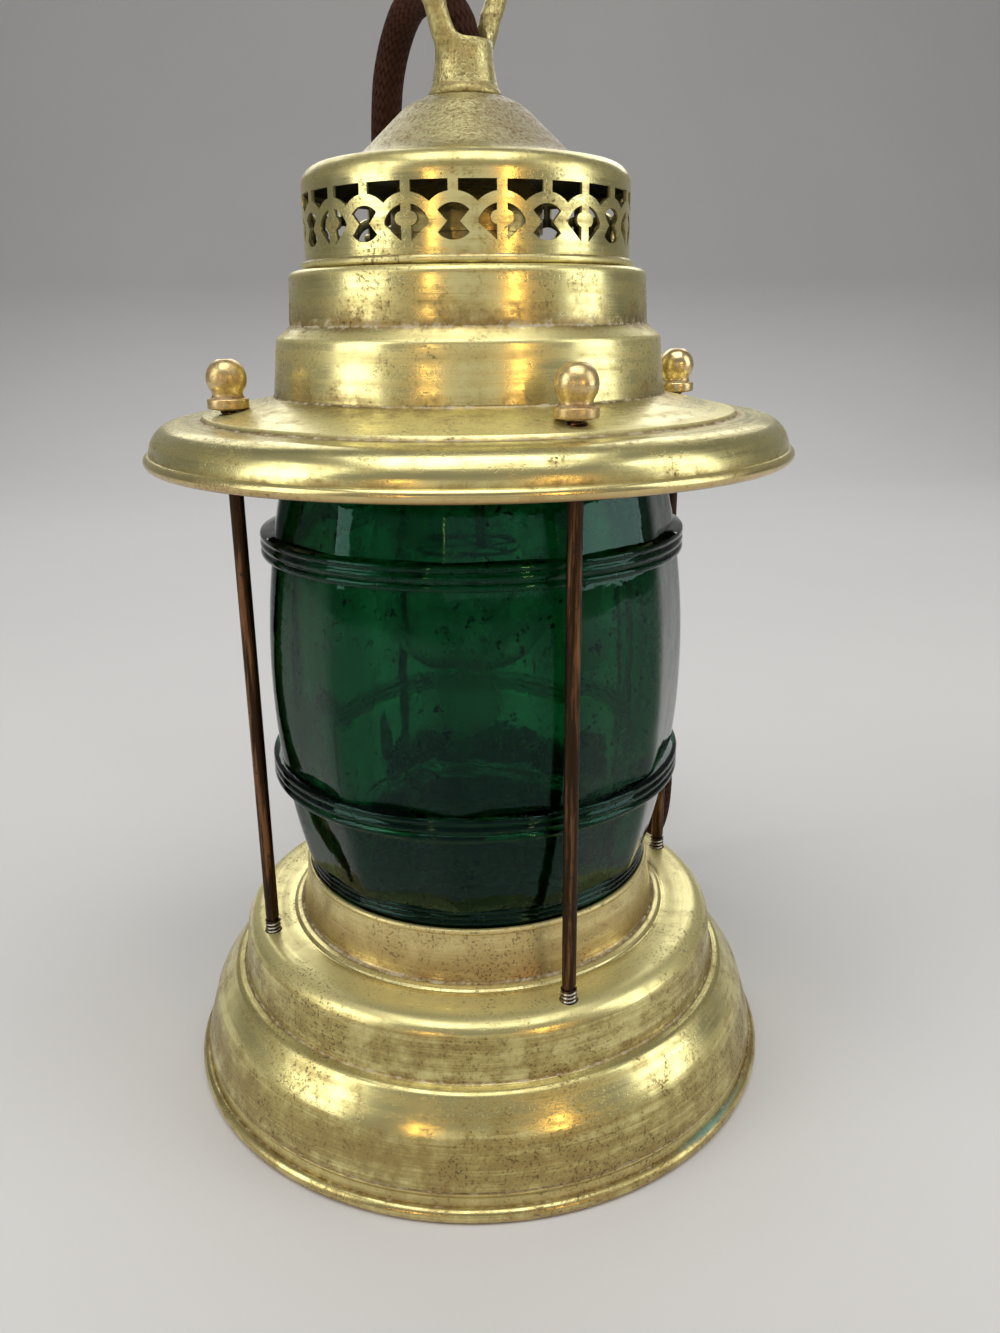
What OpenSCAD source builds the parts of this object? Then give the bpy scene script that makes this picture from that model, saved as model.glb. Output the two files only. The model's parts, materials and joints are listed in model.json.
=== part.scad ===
// Electric ship lantern. A spun brass base and hood clamp a panelled green glass
// globe between four tie rods with ball nuts. A lampholder hangs from the hood, and a
// cloth covered cord leaves it through the hanging loop on the top.
// Millimetres, +Z up, origin at the middle of the base, on the surface it stands on.
// The front is -Y. Bearings are in degrees, anticlockwise from +X as seen from above.

/* [Base] */
// Outer radius of the bead round the foot
base_r = 77.6; // [76:0.1:84]
// Thickness of the bead round the foot
foot_bead_d = 3.6; // [2.8:0.1:4.4]
// Height of the groove above the foot's hollow band
foot_band_h = 6.8; // [5.5:0.1:9]
// Height of the bulging skirt, from the ground
skirt_h = 27; // [24:0.5:34]
// Place of the skirt's knee, where its slope steepens, as a share of the skirt's width
knee_share = 0.6; // [0.5:0.01:0.7]
// Height of the skirt's knee
knee_h = 19; // [16:0.1:21]
// Radius of the round at the knee, in widths of the skirt
knee_bend = 1.18; // [0.6:0.02:1.3]
// How far the foot of the upright wall stands out from its top
wall_lean = 1.6; // [0.4:0.1:3]
// Height of the upright wall
waist_h = 14.2; // [10:0.1:22]
// Width of the shoulder outside the circle of rods
shoulder_edge = 5.4; // [5.3:0.1:6.5]
// Radius of the collar at the shoulder
collar_r = 47.6; // [47:0.1:50]
// Radius of the collar's lip
lip_r = 45.7; // [44:0.1:46.5]
// Height of the collar above the shoulder
collar_h = 13.2; // [9:0.1:18]
// Thickness of the rolled edge on the lip
lip_bead_d = 1.6; // [1.2:0.1:2]
// Depth of the globe's seat below the lip
seat_depth = 5.4; // [3:0.1:8]
// Radius of the opening in the seat
seat_hole_r = 36; // [30:0.5:38]
// Thickness of the base sheet
base_sheet = 1; // [0.8:0.1:1.3]

/* [Globe] */
// Height of the glass
globe_h = 123.55; // [118:0.05:140]
// Space between the glass and its seat
glass_rest = 0.05; // [0.02:0.01:0.3]
// Radius at the corners of the widest part
globe_r = 53; // [51:0.1:53.4]
// Height of the widest part above the seat
barrel_mid_h = 60.6; // [55:0.1:70]
// Radius of the barrel's upright curve
barrel_curve = 190; // [170:1:260]
// Flat panels round half of the globe
panel_pairs = 6; // [4:1:8]
// Bearing of one corner between two panels
panel_bearing = -6; // [-15:1:15]
// Thickness of the glass behind a panel
glass_wall = 4; // [3:0.1:5]
// Height of the round foot band
globe_foot_h = 10.8; // [9:0.1:14]
// How far the round top collar reaches under the hood's flat ring
rim_cover = 2.2; // [1.4:0.1:2.8]
// Height of the round top collar
globe_neck_h = 21.4; // [18:0.1:26]
// Height of the lower hoop's middle above the seat
hoop_low_h = 35; // [28:0.1:42]
// Height of the upper hoop's middle above the seat
hoop_high_h = 91.6; // [84:0.1:98]
// Height of a hoop
hoop_h = 6; // [4:0.1:8]
// How far a hoop stands out from the corners
hoop_proud = 1.4; // [1:0.1:1.8]
// Ridges round a hoop
hoop_ridges = 3; // [2:1:5]
// Space between the glass and the metal round it
glass_gap = 0.4; // [0.3:0.1:0.8]

/* [Tie rods] */
// Number of tie rods
rod_count = 4;
// Bearing of the first rod
rod_bearing = -69; // [-89:1:-46]
// Radius of the circle that the rods stand on
rod_circle_r = 57; // [56.6:0.1:58]
// Diameter of a rod's shank
rod_d = 3.3; // [2.6:0.1:3.6]
// Diameter of a rod's threaded ends
thread_d = 3.9; // [3.6:0.1:4.2]
// Length of thread that stands above the base
thread_show = 4.2; // [2:0.1:8]
// Length of thread at a rod's top
top_thread_h = 12; // [9:0.5:20]
// Width across the flats of a nut under the base
hex_nut_af = 6.6; // [6:0.1:6.8]
// Thickness of a nut under the base
hex_nut_h = 3.2; // [2.4:0.1:5]
// How far a rod stands out below its nut under the base
rod_tail = 1.2; // [0.6:0.1:2]
// Space above a rod's tip inside its ball nut
rod_tip_gap = 0.4; // [0.2:0.1:0.8]
// Diameter of a ball nut's ball
ball_d = 8.8; // [8.2:0.1:10]
// Diameter of a ball nut's flange
ball_flange_d = 9.1; // [8.4:0.1:9.4]
// Height of a ball nut's flange
ball_flange_h = 2.1; // [1.5:0.1:3]
// Diameter of a ball nut's neck
ball_neck_d = 7.2; // [6.6:0.1:7.6]
// Height of a ball nut's neck
ball_neck_h = 1.6; // [1:0.1:3]
// Height of the ball above the neck
ball_h = 6.6; // [6:0.1:7.4]
// Depth of the blind hole in a ball nut
nut_bore_h = 7.6; // [5:0.1:8]
// Radial clearance of a thread in its nut
thread_fit = 0.08; // [0.05:0.01:0.1]
// Radial clearance of a thread in its hole
rod_clear = 0.4; // [0.3:0.05:0.6]

/* [Hood] */
// Outer radius of the bead round the brim
brim_r = 76.2; // [75:0.1:84]
// Thickness of the bead round the brim
brim_bead_d = 3; // [2.4:0.1:3.6]
// Radius of the brim's round
brim_round = 7; // [5:0.1:7.6]
// Drop from the flat ring to the underside of the brim's bead
brim_drop = 10.8; // [10:0.1:14]
// Width of the flat ring outside the circle of rods
ring_edge = 5.2; // [4.8:0.1:7]
// Drop of the flat ring from the tiers to the step
ring_drop = 3.6; // [2:0.1:5]
// How far the lower tier's foot stands out from its top
tier2_lean = 1.3; // [0.6:0.1:1.8]
// Width of the ledge between the tiers
tier2_ledge = 3.2; // [2.6:0.1:3.6]
// Height of the lower tier
tier2_h = 12.7; // [8:0.1:18]
// Rise of the ledge between the tiers
ledge_h = 2.8; // [1.6:0.1:4]
// How far the upper tier's foot stands out from its top
tier1_lean = 0.6; // [0.2:0.1:1.2]
// Width of the upper tier's top round the pierced band
tier1_ledge = 3.9; // [3.4:0.1:4.2]
// Height of the upper tier
tier1_h = 11.8; // [8:0.1:18]
// Thickness of the hood's sheet
hood_sheet = 0.8; // [0.6:0.05:1]
// Radial space between the pierced band and the upper tier
band_fit = 0.1; // [0.05:0.01:0.2]
// Space between the hood's underside and the glass
hood_gap = 0.3; // [0.2:0.05:0.6]

/* [Gallery] */
// Outer radius of the pierced band
gallery_r = 37; // [36:0.1:38]
// Height of the pierced band above the upper tier
gallery_h = 16.8; // [16.5:0.1:22]
// Length of the band inside the upper tier
spigot_h = 3; // [2:0.1:6]
// Radius of the bead that rests on the upper tier
gallery_bead = 1; // [0.8:0.1:1.2]
// Motifs round the band, of two kinds by turns
motif_pairs = 12; // [8:1:12]
// Bearing of the first wide motif
motif_bearing = 10.9; // [0:0.1:30]
// Height of the motifs' middle above the upper tier
motif_mid_h = 7.9; // [7.4:0.1:8.6]
// Height of a motif
motif_h = 6.9; // [5.5:0.1:7.2]
// Half the width of the wide motif
wide_half_w = 4.75; // [4:0.05:4.8]
// Half the width of the waisted motif at its ends
waisted_half_w = 3.2; // [2.6:0.05:3.3]
// Half the width of the waisted motif at its waist
waist_gap = 1.3; // [0.8:0.05:1.6]
// Width of the posts
post_w = 2.1; // [1.4:0.1:2.6]
// Radius of the boss's two ends on the wide motif's post
boss_r = 1.3; // [0.9:0.05:1.4]
// Radius of the arcs under the windows
arc_r = 7; // [6:0.1:9]
// Height of the arcs' crown above the upper tier
arc_top_h = 13.5; // [13:0.1:14]
// Height of the windows' top above the upper tier
window_top_h = 15.6; // [14.8:0.1:16]

/* [Dome] */
// Height of the shoulder's corner above the pierced band
shoulder_rise = 4.6; // [4:0.1:7]
// Radius of the shoulder's round
shoulder_round = 4.4; // [3:0.1:4.6]
// Radius of the crease at the foot of the cone
cone_r = 25.5; // [22:0.5:27]
// Rise of the shoulder from its corner to the crease
shoulder_slope = 1; // [0.6:0.1:3]
// Height of the cone
cone_h = 13; // [9:0.1:18]
// Radius of the flat on top of the dome
dome_flat_r = 9.8; // [9.4:0.1:12]

/* [Hanging loop] */
// Radius of the neck's foot ring
neck_ring_r = 8.2; // [7.8:0.1:9]
// Radius of the neck at its waist
neck_r = 6.5; // [6.3:0.1:7]
// Height of the neck
neck_h = 12.4; // [10:0.1:18]
// Radius of the hole through the neck
neck_bore_r = 5.05; // [5.02:0.01:5.1]
// Thickness of the loop's arms
arm_d = 4.5; // [3.6:0.1:5]
// Radius of the loop to the middle of its arms
loop_r = 12; // [11:0.1:16]
// Height of the loop's middle above the dome
loop_mid_h = 27.2; // [26:0.1:34]
// Distance of each arm's root from the axis
arm_root_r = 5.6; // [5.2:0.1:6]
// Bearing of the loop's nearer arm
loop_bearing = -135; // [-180:1:180]

/* [Lampholder] */
// Outer radius of the threaded nipple
nipple_r = 5; // [4.8:0.01:5]
// Radius of the nipple's bore
nipple_bore_r = 4.1; // [3.9:0.05:4.2]
// Length of the nipple inside the loop's neck
nipple_in_loop = 7; // [4:0.1:9]
// Length of the nipple below the dome
nipple_drop = 13; // [12:0.1:20]
// Width across the flats of the nipple's locknut
locknut_af = 14; // [13:0.1:16]
// Thickness of the nipple's locknut
locknut_h = 3.6; // [2.5:0.1:5]
// Outer radius of the socket's shell
socket_r = 16.6; // [16.4:0.1:18]
// Height of the socket's shell
socket_h = 38; // [36:0.5:44]
// Height of the socket's cap above the shell
socket_cap_h = 14; // [12:0.1:18]
// Radius of the cap's bush round the nipple
bush_r = 7; // [6.4:0.1:8]
// Height of the cap's bush
bush_h = 4; // [3:0.1:6]
// Thickness of the socket's sheet
socket_sheet = 0.6; // [0.5:0.05:0.8]
// Thickness of the fibre liner
liner_t = 0.8; // [0.6:0.1:1]
// Height of the insulating core
core_h = 10; // [8:0.1:12]
// Length of the lampholder's screw shell
screw_shell_h = 22; // [19:0.1:23]
// Thickness of the screw shell
screw_shell_t = 0.5; // [0.4:0.05:0.7]
// Space between the pieces inside the socket
socket_gap = 0.1; // [0.05:0.05:0.15]
// Height of the centre contact
contact_h = 2.2; // [1.5:0.1:3]

/* [Bulb] */
// Radius of the bulb's metal base
bulb_base_r = 13.2; // [13:0.05:13.4]
// Length of the bulb's metal base
bulb_base_h = 19; // [17:0.1:20]
// Length of the bulb from contact to glass
bulb_len = 95; // [88:0.5:110]
// Radius of the bulb's glass
bulb_r = 27; // [24:0.5:30]
// Thickness of the bulb's glass
bulb_wall = 0.7; // [0.5:0.05:1]
// Space between the bulb and the lampholder
bulb_fit = 0.08; // [0.05:0.01:0.1]
// Space between the two contacts
contact_gap = 0.3; // [0.2:0.05:0.5]

/* [Cord] */
// Diameter of the cloth covered cord
cord_d = 7.5; // [6.5:0.1:7.6]
// Radius of the coil's outer turn
coil_r = 54; // [50:0.5:60]
// Turns in each of the coil's two layers
coil_turns = 2.375; // [1.375:1:4.375]
// Space between neighbouring turns
coil_gap = 0.6; // [0.5:0.05:2]
// Thickness of the tape that ties the coil and lies under it
tie_t = 0.6; // [0.4:0.1:1]
// Straight cord between the coil and the plug
plug_lead = 16; // [15:0.5:30]
// Radius of the plug's body
plug_r = 11; // [10:0.1:11.4]
// Length of the plug's body
plug_len = 30; // [26:0.5:40]
// Width of a plug's blade
blade_w = 6.35; // [6:0.05:6.6]
// Thickness of a plug's blade
blade_t = 1.5; // [1.4:0.1:1.6]
// Length of a plug's blade
blade_len = 16; // [14:0.5:18]
// Distance between the blades
blade_pitch = 12.7; // [12:0.1:13]

/* [Hidden] */
$fn = 96;

// The foot's bead is flattened where it stands, and a groove runs above it
foot_flat = 0.2;
groove_r = 0.45;

// The base's wall and shoulder stand round the rods, and its skirt runs out to the foot
shoulder_r = rod_circle_r + shoulder_edge;
waist_r = shoulder_r + wall_lean;
skirt_w = base_r - waist_r;
skirt_roll = 0.19 * skirt_w;
knee_r = waist_r + knee_share * skirt_w;

// The hood's tiers stand round the pierced band, and its flat ring covers the glass
tier1_top_r = gallery_r + tier1_ledge;
tier1_r = tier1_top_r + tier1_lean;
tier2_top_r = tier1_r + tier2_ledge;
tier2_r = tier2_top_r + tier2_lean;
ring_r = rod_circle_r + ring_edge;
globe_neck_r = tier2_r + rim_cover;

// Heights of the base, from the ground up
shoulder_z = skirt_h + waist_h;
lip_z = shoulder_z + collar_h;
seat_z = lip_z - seat_depth;

// Heights of the globe
globe_z = seat_z + glass_rest;
globe_top_z = globe_z + globe_h;
globe_foot_r = lip_r - base_sheet / 2 - lip_bead_d / 2 - glass_gap;
barrel_mid_z = globe_z + barrel_mid_h;
neck_z = globe_top_z - globe_neck_h;

// Heights of the hood: its sloping flat ring rests on the rim of the glass
ring_slope = ring_drop / (ring_r - tier2_r);
ring_lift = hood_sheet * sqrt(1 + ring_slope * ring_slope);
ring_z = globe_top_z + hood_gap + ring_lift + ring_slope * (globe_neck_r - tier2_r);
step_z = ring_z - ring_drop;
brim_z = step_z - brim_drop;
tier2_top_z = ring_z + tier2_h;
tier1_z = tier2_top_z + ledge_h;
hood_top_z = tier1_z + tier1_h;
gallery_top_z = hood_top_z + gallery_h;
dome_corner_z = gallery_top_z + shoulder_rise;
cone_z = dome_corner_z + shoulder_slope;
dome_top_z = cone_z + cone_h;
neck_top_z = dome_top_z + neck_h;
loop_z = dome_top_z + loop_mid_h;

// Heights of the lampholder and the bulb, from the dome down
dome_under_z = dome_top_z - hood_sheet;
nipple_top_z = dome_top_z + nipple_in_loop;
nipple_foot_z = dome_under_z - nipple_drop;
socket_bush_z = nipple_foot_z + bush_h;
socket_top_z = socket_bush_z - socket_cap_h;
socket_foot_z = socket_top_z - socket_h;
core_top_z = socket_top_z - socket_gap;
core_z = core_top_z - core_h;
liner_r = socket_r - socket_sheet - socket_gap;
core_r = liner_r - liner_t - socket_gap;
screw_shell_r = bulb_base_r + bulb_fit + screw_shell_t;
contact_z = core_z - contact_h;
bulb_tip_z = contact_z - contact_gap;
bulb_insulator_h = 3.4;
bulb_contact_h = 1.2;
bulb_rim_z = bulb_tip_z - bulb_contact_h - bulb_insulator_h;
bulb_skirt_z = bulb_rim_z - bulb_base_h;
bulb_mid_z = bulb_tip_z - bulb_len + bulb_r;
bulb_neck_r = bulb_base_r - 0.6;
wire_d = 2.2;
terminal_r = 9;
terminal_head_r = 2.6;
terminal_head_h = 2;

// Heights of the rods, from the nuts under the base to the ball nuts
shoulder_under_z = shoulder_z - base_sheet;
rod_foot_z = shoulder_under_z - hex_nut_h - rod_tail;
ball_flange_r = ball_flange_d / 2;
nut_gap = 0.15;
nut_z = ring_z - ring_slope * (rod_circle_r - ball_flange_r - tier2_r) + nut_gap;
rod_top_z = nut_z + nut_bore_h - rod_tip_gap;
thread_top_z = shoulder_z + thread_show;

// The cord's free stretch, from the neck of the loop to the coil's first turn
cord_floor_z = cord_d / 2 + tie_t + 0.05;
cord_join = 0.3;
coil_x = 8;
cord_lane_y = 85;
coil_y = cord_lane_y + coil_r;
coil_step = cord_d + coil_gap;
coil_lift = cord_d + coil_gap;
cord_exit_z = nipple_top_z;
cord_points = [
    [0, 0, cord_exit_z], [0, 0, cord_exit_z + 3], [-1, 1, cord_exit_z + 8],
    [-4, 5, cord_exit_z + 13], [-8, 11, cord_exit_z + 16], [-12.5, 17.5, cord_exit_z + 15],
    [-16, 24, cord_exit_z + 10], [-18.4, 28.5, cord_exit_z + 3], [-19.5, 32, cord_exit_z - 4],
    [-20.2, 36, cord_exit_z - 11], [-20.6, 41, cord_exit_z - 18], [-20, 46.5, cord_exit_z - 26],
    [-18.5, 52.5, cord_exit_z - 36], [-14.5, 58.5, cord_exit_z - 47], [-8, 64, cord_exit_z - 57],
    [1, 68.5, cord_exit_z - 65], [12, 71.5, cord_exit_z - 70], [24, 73, cord_exit_z - 73],
    [35, 74, cord_exit_z - 76.5], [44.5, 75, cord_exit_z - 83], [51, 76.5, cord_exit_z - 93],
    [55, 78, cord_exit_z - 107], [58, 80, cord_exit_z - 124], [60, 82, cord_exit_z - 144],
    [62, 83.5, cord_exit_z - 164], [64, 84.5, cord_exit_z - 184], [65.5, 85, 44],
    [66, 85, 32], [65, 85, 20], [61.5, 85, 11], [55, 85, 5.5], [47, 85, cord_floor_z],
    [coil_x + 15, coil_y - coil_r, cord_floor_z],
    [coil_x + cord_d + cord_join, coil_y - coil_r, cord_floor_z]
];

// Path helpers. A corner is [radius, height, fillet]
function unit(v) = v / norm(v);
function flat(p) = [p[0], p[1]];
function corner_arc(a, b, c, n) =
    let (
        u = unit(flat(a) - flat(b)),
        v = unit(flat(c) - flat(b)),
        half = acos(u * v) / 2,
        reach = b[2] / tan(half),
        mid = flat(b) + unit(u + v) * b[2] / sin(half),
        from = flat(b) + u * reach - mid,
        to = flat(b) + v * reach - mid,
        start = atan2(from[1], from[0]),
        turn = atan2(to[1], to[0]) - start,
        sweep = turn > 180 ? turn - 360 : turn < -180 ? turn + 360 : turn
    )
    [for (k = [0:n]) mid + b[2] * [cos(start + sweep * k / n), sin(start + sweep * k / n)]];
function rounded(p, n = 8) =
    let (last = len(p) - 1)
    [for (i = [0:last]) each (
        i == 0 || i == last || p[i][2] == 0 ? [flat(p[i])] : corner_arc(p[i - 1], p[i], p[i + 1], n)
    )];
function inset(p, t) =
    let (last = len(p) - 1)
    [for (i = [0:last])
        let (
            a = unit(p[max(i, 1)] - p[max(i, 1) - 1]),
            b = unit(p[min(i, last - 1) + 1] - p[min(i, last - 1)]),
            na = [a[1], -a[0]],
            n = unit(na + [b[1], -b[0]])
        )
        p[i] + n * t / (n * na)];
function reversed(p) = [for (i = [len(p) - 1:-1:0]) p[i]];

// Section of a sheet of thickness t, whose outer face follows the path p
module sheet_section(p, t) {
    polygon(concat(p, reversed(inset(p, t))));
}

// Tube helpers: one ring of points square to the path at each of its points
function tangent(p, i) = unit(p[min(i + 1, len(p) - 1)] - p[max(i - 1, 0)]);
function carried(p, i, side) =
    let (t = tangent(p, i), s = unit(side - t * (side * t)))
    i == len(p) - 1 ? [s] : concat([s], carried(p, i + 1, s));
module tube(p, r, sides, side) {
    across = carried(p, 0, side);
    rings = [for (i = [0:len(p) - 1])
        let (t = tangent(p, i), s = across[i], u = cross(t, s))
        for (k = [0:sides - 1]) p[i] + r * (s * cos(360 * k / sides) + u * sin(360 * k / sides))];
    last = (len(p) - 1) * sides;
    walls = [for (i = [0:len(p) - 2], k = [0:sides - 1])
        let (a = i * sides + k, b = i * sides + (k + 1) % sides)
        each [[a, a + sides, b], [b, a + sides, b + sides]]];
    caps = concat(
        [for (k = [1:sides - 2]) [0, k, k + 1]],
        [for (k = [1:sides - 2]) [last, last + k + 1, last + k]]
    );
    polyhedron(rings, concat(walls, caps), convexity = 10);
}

module at_bearing(angle, radius) {
    rotate([0, 0, angle]) translate([radius, 0, 0]) children();
}

// Base: one spun shell with a beaded foot, a bulging skirt and a collar
skirt_foot_r = base_r - 2.2;
bead_mid_r = base_r - foot_bead_d / 2;
bead_mid_z = foot_bead_d / 2 - foot_flat;
seat_wall_r = lip_r + (collar_r - lip_r) * seat_depth / collar_h - base_sheet / 2;
base_path = rounded([
    [lip_r, lip_z, 0],
    [collar_r, shoulder_z, 1.4],
    [shoulder_r, shoulder_z, 2.2],
    [waist_r, skirt_h, 1],
    [waist_r + skirt_roll, skirt_h - 0.6, skirt_roll],
    [knee_r, knee_h, knee_bend * skirt_w],
    [skirt_foot_r, foot_band_h, 0],
    [skirt_foot_r - 0.5, foot_band_h - 1.6, 0],
    [bead_mid_r, bead_mid_z, 0]
]);
module spun(r, z, d) {
    rotate_extrude() translate([r, z]) circle(d = d);
}
module rod_holes(from, to) {
    for (i = [0:rod_count - 1])
        at_bearing(rod_bearing + 360 * i / rod_count, rod_circle_r)
            translate([0, 0, from]) cylinder(r = thread_d / 2 + rod_clear, h = to - from);
}
module base_shell() {
    color("darkkhaki") difference() {
        union() {
            rotate_extrude() sheet_section(base_path, base_sheet);
            spun(bead_mid_r, bead_mid_z, foot_bead_d);
            spun(lip_r - base_sheet / 2, lip_z, lip_bead_d);
            translate([0, 0, seat_z - base_sheet]) difference() {
                cylinder(r = seat_wall_r, h = base_sheet);
                translate([0, 0, -1]) cylinder(r = seat_hole_r, h = base_sheet + 2);
            }
        }
        spun(skirt_foot_r, foot_band_h, 2 * groove_r);
        translate([0, 0, -foot_bead_d]) cylinder(r = 2 * base_r, h = foot_bead_d);
        rod_holes(shoulder_under_z - 4, shoulder_z + 4);
    }
}

// Globe: flat panels outside, curved only upright, with round hoops and a round bore
function barrel_r(z) = globe_r - barrel_curve + sqrt(pow(barrel_curve, 2) - pow(z - barrel_mid_z, 2));
foot_hoop_h = globe_foot_h - seat_depth - lip_bead_d / 2 - glass_gap;
barrel_steps = 22;
barrel_foot_z = globe_z + globe_foot_h - foot_hoop_h;
barrel_z = [for (k = [0:barrel_steps]) barrel_foot_z + (neck_z + 2 - barrel_foot_z) * k / barrel_steps];
panel_angle = 180 / panel_pairs;
panel_cos = cos(panel_angle / 2);
module panel_slab() {
    right = [for (z = barrel_z) [barrel_r(z) * panel_cos, z]];
    left = [for (p = reversed(right)) [-p[0], p[1]]];
    rotate([90, 0, 0]) linear_extrude(height = 4 * globe_r, center = true) polygon(concat(right, left));
}
module hoop_section(r, z, h) {
    ridge_r = h / hoop_ridges / 2;
    translate([r - glass_wall - hoop_proud, z - h / 2]) square([glass_wall + hoop_proud - ridge_r, h]);
    for (k = [0:hoop_ridges - 1])
        translate([r - ridge_r, z - h / 2 + ridge_r * (2 * k + 1)]) circle(r = ridge_r);
}
module globe() {
    low_z = globe_z + hoop_low_h;
    high_z = globe_z + hoop_high_h;
    collar_in_r = min(globe_neck_r, barrel_r(neck_z) * panel_cos) - glass_wall;
    bore = concat(
        [[0, globe_z - 1], [globe_foot_r - glass_wall, globe_z - 1]],
        [for (z = barrel_z) [barrel_r(z) * panel_cos - glass_wall, z]],
        [[globe_neck_r - glass_wall, neck_z + 6], [globe_neck_r - glass_wall, globe_top_z + 1],
            [0, globe_top_z + 1]]
    );
    color("darkgreen", 0.75) difference() {
        union() {
            intersection_for(k = [0:panel_pairs - 1])
                rotate([0, 0, panel_bearing + panel_angle * (k + 0.5)]) panel_slab();
            rotate_extrude() {
                hoop_section(barrel_r(low_z) + hoop_proud, low_z, hoop_h);
                hoop_section(barrel_r(high_z) + hoop_proud, high_z, hoop_h);
                hoop_section(globe_foot_r + 0.4, globe_z + globe_foot_h - foot_hoop_h / 2, foot_hoop_h);
                translate([globe_foot_r - glass_wall, globe_z]) square([glass_wall, globe_foot_h]);
                translate([collar_in_r, neck_z]) square([globe_neck_r - collar_in_r, globe_neck_h]);
            }
        }
        rotate_extrude() polygon(bore);
    }
}

// Tie rods, the hex nuts that hold them under the base, and the ball nuts on the hood
module tie_rod(i) {
    color("saddlebrown") at_bearing(rod_bearing + 360 * i / rod_count, rod_circle_r) {
        translate([0, 0, rod_foot_z]) cylinder(d = thread_d, h = thread_top_z - rod_foot_z);
        translate([0, 0, thread_top_z]) cylinder(d = rod_d, h = rod_top_z - top_thread_h - thread_top_z);
        translate([0, 0, rod_top_z - top_thread_h]) cylinder(d = thread_d, h = top_thread_h);
    }
}
module tie_rod_1() { tie_rod(0); }
module tie_rod_2() { tie_rod(1); }
module tie_rod_3() { tie_rod(2); }
module tie_rod_4() { tie_rod(3); }
module rod_nuts() {
    color("goldenrod") for (i = [0:rod_count - 1])
        at_bearing(rod_bearing + 360 * i / rod_count, rod_circle_r)
            translate([0, 0, shoulder_under_z - hex_nut_h]) difference() {
                rotate([0, 0, 30]) cylinder(d = hex_nut_af / cos(30), h = hex_nut_h, $fn = 6);
                translate([0, 0, -1]) cylinder(r = thread_d / 2 + thread_fit, h = hex_nut_h + 2);
            }
}
module ball_nut(i) {
    ball_z = ball_flange_h + ball_neck_h + sqrt(pow(ball_d, 2) - pow(ball_neck_d, 2)) / 2;
    color("gold") at_bearing(rod_bearing + 360 * i / rod_count, rod_circle_r)
        translate([0, 0, nut_z]) rotate_extrude() difference() {
            union() {
                polygon(rounded([
                    [0, 0, 0], [ball_flange_r, 0, 0.3], [ball_flange_r, ball_flange_h, 0.5],
                    [ball_neck_d / 2, ball_flange_h, 0],
                    [ball_neck_d / 2, ball_flange_h + ball_neck_h + 0.4, 0],
                    [0, ball_flange_h + ball_neck_h + 0.4, 0]
                ]));
                intersection() {
                    translate([0, ball_z]) circle(d = ball_d);
                    translate([0, ball_flange_h + ball_neck_h]) square([ball_d, ball_h]);
                }
            }
            translate([-1, -1]) square([1 + thread_d / 2 + thread_fit, nut_bore_h + 1]);
        }
}
module ball_nut_1() { ball_nut(0); }
module ball_nut_2() { ball_nut(1); }
module ball_nut_3() { ball_nut(2); }
module ball_nut_4() { ball_nut(3); }

// Hood: brim, flat ring and two tiers in one spun shell
brim_bead_r = brim_r - brim_bead_d / 2;
brim_bead_z = brim_z + brim_bead_d / 2;
brim_top_z = step_z - 1;
canopy_path = rounded([
    [gallery_r + band_fit, hood_top_z, 0],
    [tier1_top_r, hood_top_z, 1.3],
    [tier1_r, tier1_z, 0.8],
    [tier2_top_r, tier2_top_z, 1.6],
    [tier2_r, ring_z, 0.9],
    [ring_r, step_z, 0],
    [ring_r + 0.8, brim_top_z, 0],
    [brim_bead_r - 0.2, brim_top_z - 0.3, brim_round],
    [brim_bead_r + 0.3, brim_bead_z, 0]
]);
module canopy() {
    color("darkkhaki") difference() {
        union() {
            rotate_extrude() sheet_section(canopy_path, hood_sheet);
            spun(brim_bead_r, brim_bead_z, brim_bead_d);
        }
        rod_holes(brim_z, ring_z + 6);
    }
}

// Gallery: a pierced band with two kinds of motif by turns, under a row of windows
module wide_motif() {
    top = motif_mid_h + motif_h / 2;
    foot = motif_mid_h - motif_h / 2;
    side = motif_mid_h - 0.3;
    crown = top - motif_mid_h - 0.4;
    cap_r = (pow(wide_half_w, 2) + pow(crown, 2)) / (2 * crown);
    difference() {
        intersection() {
            translate([0, top - cap_r]) circle(r = cap_r);
            polygon([[-wide_half_w, top], [-wide_half_w, side], [-post_w / 2 - 0.1, foot],
                [post_w / 2 + 0.1, foot], [wide_half_w, side], [wide_half_w, top]]);
        }
        translate([-post_w / 2, foot - 1]) square([post_w, motif_h + 2]);
        for (s = [-1, 1]) translate([s * post_w / 2, motif_mid_h + 0.7]) circle(r = boss_r);
    }
}
module waisted_motif() {
    half = motif_h / 2;
    crown = half * 0.4;
    lens_r = (pow(waisted_half_w, 2) + pow(crown, 2)) / (2 * crown);
    translate([0, motif_mid_h]) difference() {
        intersection() {
            translate([0, half - lens_r]) circle(r = lens_r);
            translate([0, lens_r - half]) circle(r = lens_r);
        }
        for (s = [-1, 1])
            polygon([[s * waist_gap, 0], [s * (2 * waisted_half_w - waist_gap), 2 * (half - crown)],
                [s * (2 * waisted_half_w - waist_gap), 2 * (crown - half)]]);
    }
}
module window(pitch_w) {
    half = pitch_w / 2 - post_w / 2;
    difference() {
        translate([-half, arc_top_h - arc_r / 2]) square([2 * half, window_top_h - arc_top_h + arc_r / 2]);
        for (s = [-1, 1]) translate([s * pitch_w / 2, arc_top_h - arc_r]) circle(r = arc_r);
    }
}
module pierced(angle) {
    translate([0, 0, hood_top_z]) rotate([0, 0, angle + 90]) rotate([90, 0, 0])
        translate([0, 0, gallery_r - 4]) linear_extrude(height = 8) children();
}
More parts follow.
